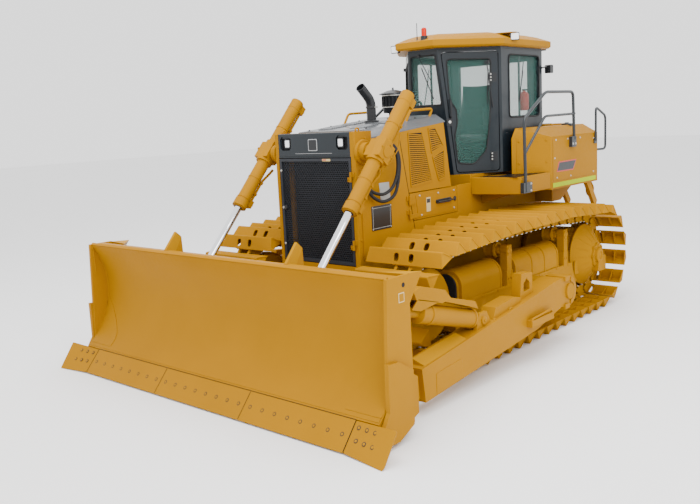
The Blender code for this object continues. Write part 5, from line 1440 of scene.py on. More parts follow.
# ================================================================ radiator guard and hood
@dataclass
class Guard:
    """Radiator guard, its honeycomb door, lamps and side plates."""

    front: float = -1.36
    half: float = 0.56
    door_half: float = 0.5
    door_low: float = 1.04
    door_high: float = 2.115
    cell: float = 0.0245
    web: float = 0.0052
    lamp_at: Flat = (0.395, 2.27)

    def honeycomb(self) -> None:
        """Build the door as a bordered frame with a punched sheet of hexagons."""
        work = Workpiece()
        thick = self.front + 0.045
        rim = 0.03
        for low, high in (
            ((-self.door_half, self.door_low), (self.door_half, self.door_low + rim)),
            ((-self.door_half, self.door_high - rim), (self.door_half, self.door_high)),
            ((-self.door_half, self.door_low + rim), (-self.door_half + rim, self.door_high - rim)),
            ((self.door_half - rim, self.door_low + rim), (self.door_half, self.door_high - rim))
        ):
            work.box((low[0], self.front + 0.001, low[1]), (high[0], thick, high[1]), GRILLE_GREY)
        near, far = self.front + 0.014, self.front + 0.017
        row_step = self.cell * 0.75 * 2 / 3**0.5
        outer, inner = self.cell / 3**0.5, (self.cell - self.web) / 3**0.5
        rows = int((self.door_high - self.door_low - rim * 1.6) / row_step)
        for row in range(rows + 1):
            z = self.door_low + rim * 0.8 + row_step * row
            shift = 0.5 * self.cell if row % 2 else 0.0
            columns = int((2 * self.door_half - rim * 1.6) / self.cell)
            for column in range(columns):
                x = -self.door_half + rim * 0.8 + shift + self.cell * (column + 0.5)
                if abs(x) < self.door_half - rim * 0.7 and z < self.door_high - rim * 0.7:
                    self.hexagon(work, x, z, outer, inner, near, far)
        for z in (1.21, 1.6, 1.99):
            work.bolt((-self.door_half + 0.02, self.front + 0.002, z), AHEAD, 0.01, STEEL)
        work.lathe(
            (-self.door_half + 0.055, self.front + 0.012, 1.6), AHEAD,
            ((0, 0.024), (0.012, 0.024), (0.015, 0.02), (0.016, 0.01)), BLACK, 20)
        work.box((0.12, self.front - 0.0005, 2.087), (0.23, self.front + 0.002, 2.11), CREAM)
        work.box((0.125, self.front - 0.001, 2.094), (0.175, self.front + 0.002, 2.106), RED)
        hinges = Workpiece()
        for z in (1.2, 1.88):
            hinges.box(
                (self.door_half - 0.045, self.front - 0.008, z + 0.002),
                (self.door_half + 0.002, self.front + 0.002, z + 0.048))
            hinges.rod(
                (self.door_half + 0.004, self.front - 0.018, z + 0.001),
                (self.door_half + 0.004, self.front - 0.018, z + 0.049), 0.0138, YELLOW, 18)
            for x in (self.door_half - 0.032, self.door_half - 0.014):
                hinges.bolt((x, self.front - 0.008, z + 0.025), AHEAD, 0.007)
        hinges.place("grille_hinges", "grille_door", 0.0015)
        work.place("grille_door.honeycomb", "grille_door", 0.0, ("grille_door",))

    @staticmethod
    def hexagon(
        work: Workpiece, x: float, z: float, outer: float, inner: float, near: float, far: float
    ) -> None:
        """Add one cell of the honeycomb as a closed ring.

        Args:
            work: Workpiece to add to.
            x: Middle of the cell.
            z: Middle of the cell.
            outer: Corner radius of its outside.
            inner: Corner radius of its hole.
            near: Front level.
            far: Back level.
        """
        loops = []
        for radius, level in ((outer, near), (inner, near), (inner, far), (outer, far)):
            loops.append([
                work.shape.verts.new(
                    (x + radius * cos(radians(30 + 60 * k)), level, z + radius * sin(radians(30 + 60 * k))))
                for k in range(6)])
        slot = work.slot_of(GRILLE_GREY)
        for first, second in zip(loops, loops[1:] + loops[:1]):
            for k in range(6):
                face = work.shape.faces.new((first[k], first[(k + 1) % 6], second[(k + 1) % 6], second[k]))
                face.material_index = slot

    def band(self) -> None:
        """Build the dark band over the door with its lamps and blank badge."""
        work = Workpiece()
        face = self.front + 0.0125
        work.box((-0.499, self.front + 0.0005, 2.137), (0.499, face, 2.164), CAB_GREY)
        work.prism(
            "X", -0.499, 0.499,
            [
                (face, 2.163), (self.front + 0.0015, 2.163), (self.front + 0.0015, 2.358),
                *arc((self.front + 0.0145, 2.36), 0.012, 180, 95, 5), (face + 0.02, 2.3735),
                (face + 0.02, 2.3685), (face, 2.3685)],
            CAB_GREY)
        pockets = Workpiece()
        octagon = [
            (-0.0765, -0.045), (-0.052, -0.07), (0.052, -0.07), (0.0765, -0.045), (0.0765, 0.045),
            (0.052, 0.07), (-0.052, 0.07), (-0.0765, 0.045)]
        for sign in (-1, 1):
            pockets.prism(
                "Y", self.front - 0.05, self.front + 0.05,
                [(sign * self.lamp_at[0] + a, self.lamp_at[1] + b) for a, b in octagon], CAB_GREY)
        work.carve(pockets)
        for sign in (-1, 1):
            middle, level = sign * self.lamp_at[0], self.lamp_at[1]
            lamp = Workpiece()
            # The pocket's back is a near-black sheet: painted shade inside the pocket.
            lamp.prism(
                "Y", self.front + 0.03, self.front + 0.036, [(middle + a, level + b) for a, b in octagon],
                DARK_PARTS_AND_SHADE)
            inner = middle - sign * 0.022
            case = oblong((inner - 0.04, 2.222), (inner + 0.04, 2.318), 0.014)
            lens = oblong((inner - 0.029, 2.235), (inner + 0.029, 2.305), 0.01)
            lamp.prism("Y", self.front + 0.006, self.front + 0.034, case, BLACK)
            lamp.prism("Y", self.front + 0.003, self.front + 0.007, lens, LENS)
            lamp.prism(
                "Y", self.front + 0.0035, self.front + 0.006, [(x, z) for x, z in lens[:4]] + [(inner, 2.24)],
                CHROME)
            lamp.place(f"work_lamp.{'left' if sign > 0 else 'right'}", "chassis", 0.0)
        for grow, proud, finish in ((0.0, 0.004, ALLOY), (0.007, 0.0048, BLACK)):
            square = [
                (-0.062 + grow, 2.192 + grow), (0.062 - grow, 2.192 + grow), (0.062 - grow, 2.312 - grow),
                (-0.062 + grow, 2.312 - grow)]
            work.prism("Y", self.front - proud, self.front + 0.004, rounded(square, 0.012), finish)
        work.box((-0.256, self.front - 0.0004, 2.164), (0.256, self.front + 0.003, 2.168), ALLOY)
        work.box((-0.42, self.front + 0.0045, 2.128), (0.42, self.front + 0.012, 2.133), BLACK)
        work.place("guard_band", "chassis", 0.0012)

    def sides(self) -> None:
        """Build what stands on the guard's side plates and top, and the radiator's fins behind the door."""
        work = Workpiece()
        x = self.half
        work.prism("X", x - 0.001, x + 0.003, oblong((-1.15, 1.615), (-0.825, 1.365), 0.012), BLACK)
        for y, z in ((-1.135, 1.6), (-0.84, 1.6), (-1.135, 1.38), (-0.84, 1.38)):
            work.bolt((x + 0.003, y, z), LEFT, 0.006, STEEL)
        for low, high in ((1.385, 1.389), (1.591, 1.595)):
            work.box((x + 0.0028, -1.13, low), (x + 0.0042, -0.845, high), GREY_LABEL)
        for low, high in ((-1.13, -1.126), (-0.849, -0.845)):
            work.box((x + 0.0028, low, 1.385), (x + 0.0042, high, 1.595), GREY_LABEL)
        work.prism(
            "X", x - 0.001, x + 0.0025,
            rounded([(-1.01, 1.84), (-0.85, 1.84), (-0.83, 1.65), (-0.99, 1.65)], 0.008), GREY_LABEL)
        work.box((x - 0.001, -1.3, 1.1), (x + 0.01, -1.28, 2.0))
        for y, z in (
            (-1.2, 0.9), (-0.95, 0.9), (-0.7, 0.9), (-0.52, 0.9), (-1.2, 2.3), (-0.8, 2.26), (-1.32, 1.3),
            (-1.32, 1.85)
        ):
            work.bolt((x, y, z), LEFT, 0.014)
        ring = [
            Vector((x - 0.05, -1.254 + 0.026 * cos(a), 2.384 + 0.02 * sin(a)))
            for a in (radians(-40 + 26 * k) for k in range(11))]
        work.tube(ring, 0.008, YELLOW, 8)
        py, pz = -1.248, 2.167
        work.lathe(
            (x + 0.001, py, pz), LEFT, ((0, 0.125), (0.022, 0.125), (0.028, 0.118), (0.028, 0.09)), YELLOW, 36
        )
        seam = [
            (x + 0.0005, -0.64, 2.262), (x + 0.0005, -0.424, 1.28), (x + 0.0005, -0.405, 1.12),
            (x + 0.0005, -0.33, 1.02)]
        work.tube(smooth_path(seam), 0.0035, DARK_PARTS_AND_SHADE, 6)
        work.place_pair("guard_sides", "chassis", 0.0015)
        core = Workpiece()
        for k in range(46):
            px = -0.455 + 0.0202 * k
            core.box((px - 0.003, -1.182, 1.03), (px + 0.003, -1.169, 2.09), DARK_PARTS_AND_SHADE)
        core.place("radiator_core", "chassis")

    def build(self) -> None:
        """Build the guard."""

        def inside(middle: Vector, normal: Vector) -> Finish | None:
            """Pick the dark paint for what frames the grille, and near-black painted shade for what lies
            behind it.

            Args:
                middle: Middle of the face.
                normal: Normal of the face; not used.

            Returns:
                The finish, or None for the piece's own.
            """
            if abs(middle.x) > 0.505 or not 1.03 < middle.z < 2.36:
                return None
            # Faces behind the grille get the near-black finish: painted shade of the space behind the door.
            return DARK_PARTS_AND_SHADE if middle.y > self.front + 0.012 else CAB_GREY

        dress("radiator_guard", YELLOW, 0.004, inside)
        self.honeycomb()
        self.band()
        self.sides()


@dataclass
class Hood:
    """Hood top, vent panels with slanted louvres, side doors and stacks."""

    half: float = 0.56
    front: Flat = (-1.1, 2.38)
    rear: Flat = (0.2, 2.5)

    def height(self, y: float) -> float:
        """Return the height of the top sheet.

        Args:
            y: Place along the machine.

        Returns:
            The height.
        """
        share = (y - self.front[0]) / (self.rear[0] - self.front[0])
        return self.front[1] + (self.rear[1] - self.front[1]) * share

    def top(self) -> None:
        """Build the top sheet's vents, seams and bolts."""

        def rails(middle: Vector, normal: Vector) -> Finish | None:
            """Pick enamel for the rails along the hood's edges."""
            return YELLOW if middle.z > self.height(middle.y) + 0.004 and abs(middle.x) > 0.36 else None
        dress("hood", HOOD_GREY, 0.003, rails)
        work = Workpiece()
        slope = run_of(self.front, self.rear)
        for low, high in ((-0.93, -0.66), (-0.56, -0.3)):
            for sign in (-1, 1):
                x = sign * 0.225
                foot = (x, low, self.height(low) - 0.001)
                long = high - low
                work.plate(foot, LEFT, slope, oblong((-0.105, 0), (0.105, long), 0.03), 0.005, HOOD_GREY)
                # A near-black sheet inside each vent: painted shade of the opening.
                work.plate(
                    Vector(foot) + Vector((0, 0, 0.0045)), LEFT, slope,
                    oblong((-0.092, 0.014), (0.092, long - 0.014), 0.024), 0.0012, DARK_PARTS_AND_SHADE)
                for k in range(7):
                    y = low + 0.028 + (long - 0.056) * k / 6
                    base = self.height(y) + 0.004
                    work.prism(
                        "X", x - 0.088, x + 0.088,
                        [
                            (y - 0.013, base), (y + 0.009, base), (y + 0.013, base + 0.009),
                            (y + 0.01, base + 0.01)],
                        HOOD_GREY)
        for y in (-1.02, -0.61, -0.25):
            work.plate(
                (-0.4, y, self.height(y) + 0.0002), LEFT, slope, [(0, 0), (0.8, 0), (0.8, 0.004), (0, 0.004)],
                0.0014, DARK_PARTS_AND_SHADE)
        for sign in (-1, 1):
            for y in (-0.98, -0.63, -0.14, 0.14):
                work.bolt((sign * 0.4, y, self.height(y)), UP, 0.01, BLACK)
        work.place("hood_vents", "chassis", 0.0008)

    def louvre(self, work: Workpiece, corners: Sequence[Flat], count: int) -> None:
        """Fill one grid of the vent panel with slanted slats.

        Args:
            work: Workpiece to add to.
            corners: Upper front, upper rear, lower rear and lower front corner.
            count: Number of slats.
        """
        a, b, c, d = (Vector(p) for p in corners)
        face = self.half
        # A near-black sheet behind the slats: painted shade of the vent's inside.
        work.prism("X", face - 0.0005, face + 0.002, corners, DARK_PARTS_AND_SHADE)
        rim = [tuple(p) for p in (a, b, c, d)]
        for start, end in zip(rim, rim[1:] + rim[:1]):
            work.bar((face + 0.003, *start), (face + 0.003, *end), 0.01, 0.01)
        for k in range(count):
            share = (k + 0.5) / count
            near, far = a.lerp(d, share), b.lerp(c, share)
            drop = min(0.022, (1 - share) * 0.1)
            work.bar(
                (face + 0.0035, near.x + 0.004, near.y), (face + 0.0035, far.x - 0.004, far.y - drop), 0.007,
                0.0115)

    def sides(self) -> None:
        """Build vent panels and side doors."""
        dress_pair("vent_panel", YELLOW, 0.003)
        dress_pair("side_door", YELLOW, 0.003, body="side_door_{side}")
        work = Workpiece()
        self.louvre(work, [(-0.497, 2.32), (-0.252, 2.32), (-0.09, 1.784), (-0.47, 1.754)], 26)
        self.louvre(work, [(-0.13, 2.352), (0.0, 2.352), (0.15, 2.15), (-0.075, 2.085)], 11)
        self.louvre(work, [(-0.062, 2.04), (0.155, 2.105), (0.16, 1.8), (0.045, 1.776)], 14)
        work.place_pair("vent_grids", "chassis", 0.0)
        door = Workpiece()
        face = self.half
        door.prism(
            "X", face, face + 0.004, rounded([(-0.36, 1.41), (0.36, 1.41), (0.36, 1.66), (-0.4, 1.66)], 0.02))
        door.prism(
            "X", face, face + 0.01,
            rounded([(-0.03, 1.524), (0.27, 1.52), (0.27, 1.572), (-0.03, 1.568)], 0.02), BLACK)
        door.tube(
            bent_path(
                [
                    (face, -0.01, 1.545), (face + 0.042, -0.01, 1.545), (face + 0.042, 0.25, 1.545),
                    (face, 0.25, 1.545)],
                0.014),
            0.011, BLACK, 10)
        door.lathe(
            (face + 0.003, 0.345, 1.545), LEFT, ((0, 0.028), (0.006, 0.028), (0.009, 0.022), (0.009, 0.008)),
            BLACK, 20)
        for y, z in ((-0.33, 1.644), (0.02, 1.64), (0.33, 1.64), (-0.3, 1.43), (0.33, 1.44)):
            door.bolt((face + 0.004, y, z), LEFT, 0.009, STEEL)
        door.prism(
            "X", face + 0.003, face + 0.0052,
            [(-0.208, 1.61), (-0.13, 1.61), (-0.13, 1.455), (-0.208, 1.455)], CREAM)
        door.prism(
            "X", face + 0.004, face + 0.0058, [(-0.2, 1.595), (-0.138, 1.595), (-0.138, 1.55), (-0.2, 1.55)],
            BLACK)
        door.place_pair("side_door_trim", "side_door_{side}", 0.001)

    def stacks(self) -> None:
        """Build the exhaust pipe and the air intake with their bands."""
        dress("exhaust_pipe", BLACK, 0.0)
        dress("air_intake", BLACK, 0.0)
        work = Workpiece()
        y = -0.4
        work.lathe(
            (0, y, self.height(y) + 0.01), UP, ((0, 0.085), (0.01, 0.085), (0.016, 0.074), (0.016, 0.058)),
            BLACK, 28)
        clamp = 2.6
        work.lathe(
            (0, y, clamp), UP, ((0, 0.0515), (0.002, 0.059), (0.022, 0.059), (0.024, 0.0515)), BLACK, 28)
        work.box((0.05, y - 0.012, clamp + 0.002), (0.085, y + 0.012, clamp + 0.022), STEEL)
        foot = self.height(0.0) + 0.0123
        for low, radius in ((0.108, 0.1265), (0.238, 0.1265)):
            work.lathe(
                (0, 0, foot + low), UP,
                (
                    (0, radius - 0.004), (0.001, radius + 0.002), (0.01, radius + 0.002),
                    (0.011, radius - 0.004)),
                STEEL, 36)
        for k in range(20):
            turn = 2 * pi * k / 20
            spot = Vector((0.1265 * cos(turn), 0.1265 * sin(turn), 0))
            work.bar(
                spot + Vector((0, 0, foot + 0.12)), spot + Vector((0, 0, foot + 0.235)), 0.008, 0.005, BLACK)
        for k in range(6):
            turn = 2 * pi * k / 6
            work.box(
                (0.085 * cos(turn) - 0.006, 0.085 * sin(turn) - 0.006, foot + 0.06),
                (0.085 * cos(turn) + 0.006, 0.085 * sin(turn) + 0.006, foot + 0.098), BLACK)
        work.place("stack_trim", "chassis", 0.001)

    def build(self) -> None:
        """Build the hood."""
        self.top()
        self.sides()
        self.stacks()


# ================================================================ cab and roof
@dataclass
class Cab:
    """Cab shell, doors with their glass, seals, wipers, seat and controls."""

    half: float = 0.7
    nose: Flat = (0.21, 0.59)
    shoulder: Flat = (0.7, 1.2)
    lean: float = 0.165
    floor: float = 1.78
    top: float = 3.235
    wall: float = 0.06
    rear: float = 2.21

    def slide(self, z: float) -> float:
        """Return how far the front corner has moved along the door's plane.

        Args:
            z: Height.

        Returns:
            The distance.
        """
        return self.lean * (self.top - z) / (self.top - self.floor)

    def spot(self, along: float, z: float, out: float = 0.0) -> Vector:
        """Return a point on the left door's plane.

        Args:
            along: Distance from the front corner.
            z: Height.
            out: Distance in front of the plane.

        Returns:
            The point.
        """
        run = Vector((self.shoulder[0] - self.nose[0], self.shoulder[1] - self.nose[1])).normalized()
        return Vector(
            (self.nose[0] + run.x * along + run.y * out, self.nose[1] + run.y * along - run.x * out, z))

    def window(self, grow: float) -> list[Flat]:
        """Return the door window's outline.

        Args:
            grow: Distance outside it.

        Returns:
            Points as (along, height).
        """
        points = rounded(
            [
                (0.112, 3.128), (0.14, 2.66), (0.222, 2.54), (0.225, 2.37), (0.188, 2.24), (0.222, 1.915),
                (0.42, 1.895), (0.58, 2.05), (0.635, 2.45), (0.655, 3.118)],
            0.05, 4)
        middle = Vector((sum(a for a, _ in points) / len(points), sum(z for _, z in points) / len(points)))
        return [
            tuple(middle + (Vector(p) - middle) * (1 + grow / (Vector(p) - middle).length)) for p in points]

    def outline(self, grow: float) -> list[Flat]:
        """Return the door's outline.

        Args:
            grow: Distance outside it.

        Returns:
            Points as (along, height).
        """
        low, high, rear = 1.805 - grow, 3.205 + grow, 0.742 + grow
        corners = [
            (self.slide(low) + 0.048 - grow, low), (rear, low), (rear, high),
            (self.slide(high) + 0.048 - grow, high)]
        return rounded(corners, 0.045, 4)

    def ring(self, z: float, inset: float) -> list[Point]:
        """Return the cab's plan at a height.

        Args:
            z: Height.
            inset: Distance inside the outer skin.

        Returns:
            The ring.
        """
        corner = self.spot(self.slide(z), z)
        inner = self.spot(self.slide(z) + inset * 0.46, z, -inset)
        run = (self.spot(1, z) - self.spot(0, z)).normalized()
        front = corner.y + inset
        side = self.half - inset
        right = [
            (inner.x + run.x * (front - inner.y) / run.y, front),
            (side, inner.y + run.y * (side - inner.x) / run.x), (side, self.rear - inset)]
        return [(x, y, z) for x, y in right + [(-x, y) for x, y in reversed(right)]]

    def slab(self, outline: Sequence[Flat], low: float, high: float, sign: int, finish: Finish) -> Workpiece:
        """Build a plate in the plane of a door.

        Args:
            outline: Points as (along, height).
            low: Inner level.
            high: Outer level.
            sign: 1 for the left door, -1 for the right one.
            finish: Its finish.

        Returns:
            The plate.
        """
        work = Workpiece()
        rings = []
        for level in (low, high):
            spots = [self.spot(a, z, level) for a, z in outline]
            rings.append([(sign * spot.x, spot.y, spot.z) for spot in spots])
        work.loft(rings, finish)
        return work

    def pane_ring(self, shrink: float, out: float) -> list[Point]:
        """Return the leaning front pane's outline.

        Args:
            shrink: Distance inside it.
            out: Distance before the cab's front.

        Returns:
            The ring.
        """
        ring = []
        for sign, z in ((-1, 2.61 + shrink), (1, 2.61 + shrink), (1, 3.185 - shrink), (-1, 3.185 - shrink)):
            half = self.nose[0] + 0.6263 * self.slide(z) - 0.035 - shrink
            ring.append((sign * half, self.nose[1] + 0.7797 * self.slide(z) - out, z))
        return ring

    def side_outline(self, shrink: float) -> list[Flat]:
        """Return the side window's outline.

        Args:
            shrink: Distance inside it.

        Returns:
            Points as (y, z).
        """
        low, high = (1.375 + shrink, 2.425 + shrink), (2.125 - shrink, 3.17 - shrink)
        return rounded([low, (high[0], low[1]), high, (low[0], high[1])], 0.06)

    def shell(self) -> None:
        """Build the hollow cab, its doors and its panes."""
        work = Workpiece()
        work.loft([self.ring(self.floor, 0.0), self.ring(self.top, 0.0)], CAB_GREY)
        room = Workpiece()
        room.loft(
            [self.ring(self.floor + self.wall, self.wall), self.ring(self.top + 0.1, self.wall)], CAB_GREY)
        work.carve(room)
        for sign in (-1, 1):
            work.carve(self.slab(self.outline(0.008), -self.wall - 0.03, 0.05, sign, CAB_GREY))
            tool = Workpiece()
            tool.prism(
                "X", sign * (self.half - 0.09), sign * (self.half + 0.05), self.side_outline(0.0), CAB_GREY)
            work.carve(tool)
        tool = Workpiece()
        tool.box((-0.52, self.rear - 0.2, 2.35), (0.52, self.rear + 0.05, 3.12), CAB_GREY)
        work.carve(tool)
        tool = Workpiece()
        tool.loft([self.pane_ring(0.0, -0.09), self.pane_ring(0.0, 0.06)], CAB_GREY)
        work.carve(tool)
        work.place("cab_shell.body", "chassis", 0.005, ("cab_shell",))
        for side, sign in (("left", 1), ("right", -1)):
            door = self.slab(self.outline(0.0), -0.05, 0.0, sign, CAB_GREY)
            door.carve(self.slab(self.window(0.0), -0.09, 0.04, sign, CAB_GREY))
            door.place(f"cab_door_{side}.body", f"cab_door_{side}", 0.004, (f"cab_door_{side}",))
            self.slab(self.window(0.006), -0.028, -0.02, sign, GLASS).place(
                f"door_glass_{side}.pane", f"cab_door_{side}", 0.0, (f"door_glass_{side}",))
            pane = Workpiece()
            pane.prism(
                "X", sign * (self.half - 0.036), sign * (self.half - 0.028), self.side_outline(-0.004), GLASS)
            pane.place(f"side_window_{side}.pane", "chassis", 0.0, (f"side_window_{side}",))
        pane = Workpiece()
        pane.box((-0.523, self.rear - 0.036, 2.347), (0.523, self.rear - 0.028, 3.123), GLASS)
        pane.place("rear_window.pane", "chassis", 0.0, ("rear_window",))
        pane = Workpiece()
        pane.loft([self.pane_ring(-0.004, -0.036), self.pane_ring(-0.004, -0.028)], GLASS)
        pane.place("windshield.pane", "chassis", 0.0, ("windshield",))

    def door_trim(self) -> None:
        """Build seals, handles, hinges, locks and wipers of the doors."""
        work = Workpiece()
        seal = [self.spot(a, z, 0.0) for a, z in self.window(0.002)]
        work.tube([*seal, seal[0], seal[1]], 0.009, RUBBER, 8)
        work.tube(
            [
                self.spot(0.14, 2.455, 0.0), self.spot(0.14, 2.465, 0.042), self.spot(0.14, 2.56, 0.048),
                self.spot(0.14, 2.655, 0.042), self.spot(0.14, 2.665, 0.0)],
            0.011, BLACK, 10)
        work.plate(
            self.spot(0.125, 2.36, 0.001), self.spot(1, 0) - self.spot(0, 0), UP,
            oblong((-0.03, 0), (0.04, 0.085), 0.01), 0.012, BLACK)
        work.lathe(
            self.spot(0.13, 2.405, 0.01), self.spot(0, 0, 1) - self.spot(0, 0),
            ((0, 0.017), (0.008, 0.017), (0.01, 0.012)), STEEL, 16)
        for low in (1.95, 2.88):
            along = hypot(0.49, 0.61) - 0.05 - 0.055
            work.plate(
                self.spot(along, low - 0.03, 0.0005), self.spot(1, 0) - self.spot(0, 0), UP,
                oblong((-0.05, 0), (0.045, 0.11), 0.008), 0.008, BLACK)
            for k in (0.02, 0.055, 0.09):
                work.bolt(
                    self.spot(along - 0.03, low - 0.03 + k, 0.0085), self.spot(0, 0, 1) - self.spot(0, 0),
                    0.007, STEEL)
        work.tube([self.spot(0.6, 3.075, 0.012), self.spot(0.665, 2.55, 0.016)], 0.006, BLACK, 8)
        work.tube([self.spot(0.615, 3.0, 0.012), self.spot(0.6, 2.6, 0.014)], 0.007, RUBBER, 8)
        work.box(
            tuple(self.spot(0.6, 3.06, 0.0) + Vector((-0.02, -0.02, 0))),
            tuple(self.spot(0.6, 3.1, 0.02) + Vector((0.02, 0.02, 0))), BLACK)
        work.place_pair("cab_door_trim", "cab_door_{side}", 0.0)

    def shell_trim(self) -> None:
        """Build seals and wipers of the side windows and the front pane, and the extinguishers."""
        work = Workpiece()
        x = self.half
        edge = self.side_outline(0.0)
        seal = [(x + 0.003, y, z) for y, z in edge]
        work.tube([*seal, seal[0], seal[1]], 0.009, RUBBER, 8)
        work.box((x - 0.05, 1.68, 2.43), (x - 0.037, 1.71, 3.16), BLACK)
        work.tube([(x + 0.008, 1.72, 3.1), (x + 0.014, 1.6, 2.62)], 0.005, BLACK, 8)
        work.tube([(x + 0.01, 1.7, 2.98), (x + 0.012, 1.585, 2.6)], 0.006, RUBBER, 8)
        for y in (1.3, 1.75, 2.15):
            work.bolt((x, y, 2.24), LEFT, 0.009, BLACK)
        work.lathe(
            (x - 0.1, 1.92, 2.5), UP,
            ((0, 0.045), (0.02, 0.06), (0.2, 0.06), (0.225, 0.04), (0.235, 0.018), (0.25, 0.018)), RED, 20)
        work.box((x - 0.118, 1.905, 2.745), (x - 0.08, 1.98, 2.765), BLACK)
        work.place_pair("cab_side_trim", "chassis", 0.0)
        front = Workpiece()
        def pane(px: float, z: float, out: float) -> Vector:
            """Return a point before the leaning front pane."""
            return Vector((px, self.nose[1] + 0.7797 * self.slide(z) - out, z))
        corners = [Vector(spot) for spot in self.pane_ring(0.0, 0.001)]
        closed = bent_path(
            [
                corners[0].lerp(corners[1], 0.5), corners[1], corners[2], corners[3], corners[0],
                corners[0].lerp(corners[1], 0.5)],
            0.03)
        front.tube(closed, 0.009, RUBBER, 8)
        front.tube([pane(-0.05, 3.185, 0.014), pane(0.1, 2.9, 0.016)], 0.005, BLACK, 8)
        front.tube([pane(-0.02, 3.05, 0.012), pane(0.12, 2.68, 0.012)], 0.006, RUBBER, 8)
        front.lathe(pane(-0.05, 3.19, -0.005), AHEAD, ((0, 0.018), (0.02, 0.018), (0.026, 0.012)), BLACK, 16)
        front.place("windshield_trim", "chassis", 0.0)

    def inside(self) -> None:
        """Build the operator's place: seat, console, levers and panel."""
        floor = self.floor + self.wall
        seat = Workpiece()
        seat.box((-0.19, 1.32, floor + 0.004), (0.19, 1.68, floor + 0.05), BLACK)
        for k in range(5):
            seat.box(
                (-0.165 + k * 0.004, 1.34, floor + 0.055 + 0.034 * k),
                (0.165 - k * 0.004, 1.66, floor + 0.08 + 0.034 * k), RUBBER)
        seat.box((-0.21, 1.28, floor + 0.225), (0.21, 1.72, floor + 0.255), BLACK)
        for sign in (-1, 1):
            seat.prism(
                "X", sign * 0.3, sign * 0.36,
                rounded(
                    [(1.31, floor + 0.44), (1.61, floor + 0.44), (1.6, floor + 0.505), (1.32, floor + 0.505)],
                    0.02),
                RUBBER)
            seat.prism(
                "X", sign * 0.275, sign * 0.335,
                [(1.6, floor + 0.31), (1.67, floor + 0.31), (1.67, floor + 0.46), (1.6, floor + 0.46)], BLACK)
            seat.rod((sign * 0.33, 1.37, floor + 0.5), (sign * 0.335, 1.35, floor + 0.66), 0.012, BLACK)
            seat.lathe(
                (sign * 0.335, 1.35, floor + 0.65), (0, -0.1, 1),
                ((0, 0.018), (0.03, 0.03), (0.07, 0.026), (0.09, 0.012)), PLASTIC, 16)
        seat.place("seat_frame", "chassis", 0.004, ("operator_seat",))
        self.cushion("seat_cushion", (0, 1.49, floor + 0.325), (0.27, 0.26, 0.065), 0.0)
        self.cushion("seat_backrest", (0, 1.775, floor + 0.7), (0.25, 0.32, 0.055), radians(80))
        panel = Workpiece()
        panel.cast("instrument_panel", PLASTIC)
        for x in (-0.12, 0.0, 0.12):
            panel.lathe(
                (x, 0.955, floor + 0.6), (0, 0.95, 0.25),
                ((0, 0.042), (0.018, 0.042), (0.022, 0.038), (0.018, 0.034)), BLACK, 24)
        panel.place("instrument_panel.body", "chassis", 0.006, ("instrument_panel",))
        work = Workpiece()
        for sign in (-1, 1):
            work.prism(
                "X", sign * 0.4, sign * 0.6,
                rounded(
                    [(1.3, floor + 0.002), (1.95, floor + 0.002), (1.95, floor + 0.42), (1.34, floor + 0.45)],
                    0.04),
                PLASTIC)
            work.rod((sign * 0.2, 1.06, floor + 0.01), (sign * 0.17, 1.0, floor + 0.16), 0.01, BLACK)
            work.box(
                (sign * 0.17 - 0.04, 0.975, floor + 0.14), (sign * 0.17 + 0.04, 1.03, floor + 0.16), RUBBER)
        work.box((-0.6, 2.0, floor + 0.3), (0.6, 2.12, floor + 0.6), PLASTIC)
        work.place("cab_consoles", "chassis", 0.006)

    @staticmethod
    def cushion(name: str, middle: Point, half: Point, tilt: float) -> None:
        """Build one crowned cushion with pulled-in sides and sewn channels.

        Args:
            name: Name of the piece.
            middle: Its middle.
            half: Half sizes before it is tilted.
            tilt: Turn about the machine's width.
        """
        work = Workpiece()
        count = 28
        turn = Matrix.Rotation(tilt, 4, "X")
        def skin(top: float, u: float, v: float) -> Vector:
            """Return a point of the upper or lower skin.

            Args:
                top: 1 for the upper skin, -1 for the lower one.
                u: Place across, from -1 to 1.
                v: Place along, from -1 to 1.

            Returns:
                The point.
            """
            pinch_u, pinch_v = 1 - 0.045 * (1 - v * v) * abs(u) ** 3, 1 - 0.05 * (1 - u * u) * abs(v) ** 3
            swell = ((1 - abs(u) ** 3.2) * (1 - abs(v) ** 3.2)) ** 0.42
            seam = 0.01 * max(0.0, 1 - abs(abs(u) - 0.52) / 0.06) + 0.008 * max(0.0, 1 - abs(v) / 0.07)
            height = (swell * half[2] - (seam if top > 0 else 0.0)) * (top if top > 0 else 0.55 * top)
            spot = turn @ Vector((u * half[0] * pinch_u, v * half[1] * pinch_v, height))
            return spot + Vector(middle)
        rows = []
        for top in (1, -1):
            rows.append([
                [
                    work.shape.verts.new(skin(top, -1 + 2 * i / count, -1 + 2 * j / count))
                    for j in range(count + 1)]
                for i in range(count + 1)])
        slot = work.slot_of(SEAT_CLOTH)
        for grid, flip in zip(rows, (False, True)):
            for i in range(count):
                for j in range(count):
                    quad = [grid[i][j], grid[i + 1][j], grid[i + 1][j + 1], grid[i][j + 1]]
                    face = work.shape.faces.new(list(reversed(quad)) if flip else quad)
                    face.material_index = slot
                    face.smooth = True
        bmesh.ops.remove_doubles(work.shape, verts=work.shape.verts, dist=0.0004)
        item = work.place(name, "chassis")

    def build(self) -> None:
        """Build the cab."""
        self.shell()
        self.door_trim()
        self.shell_trim()
        self.inside()


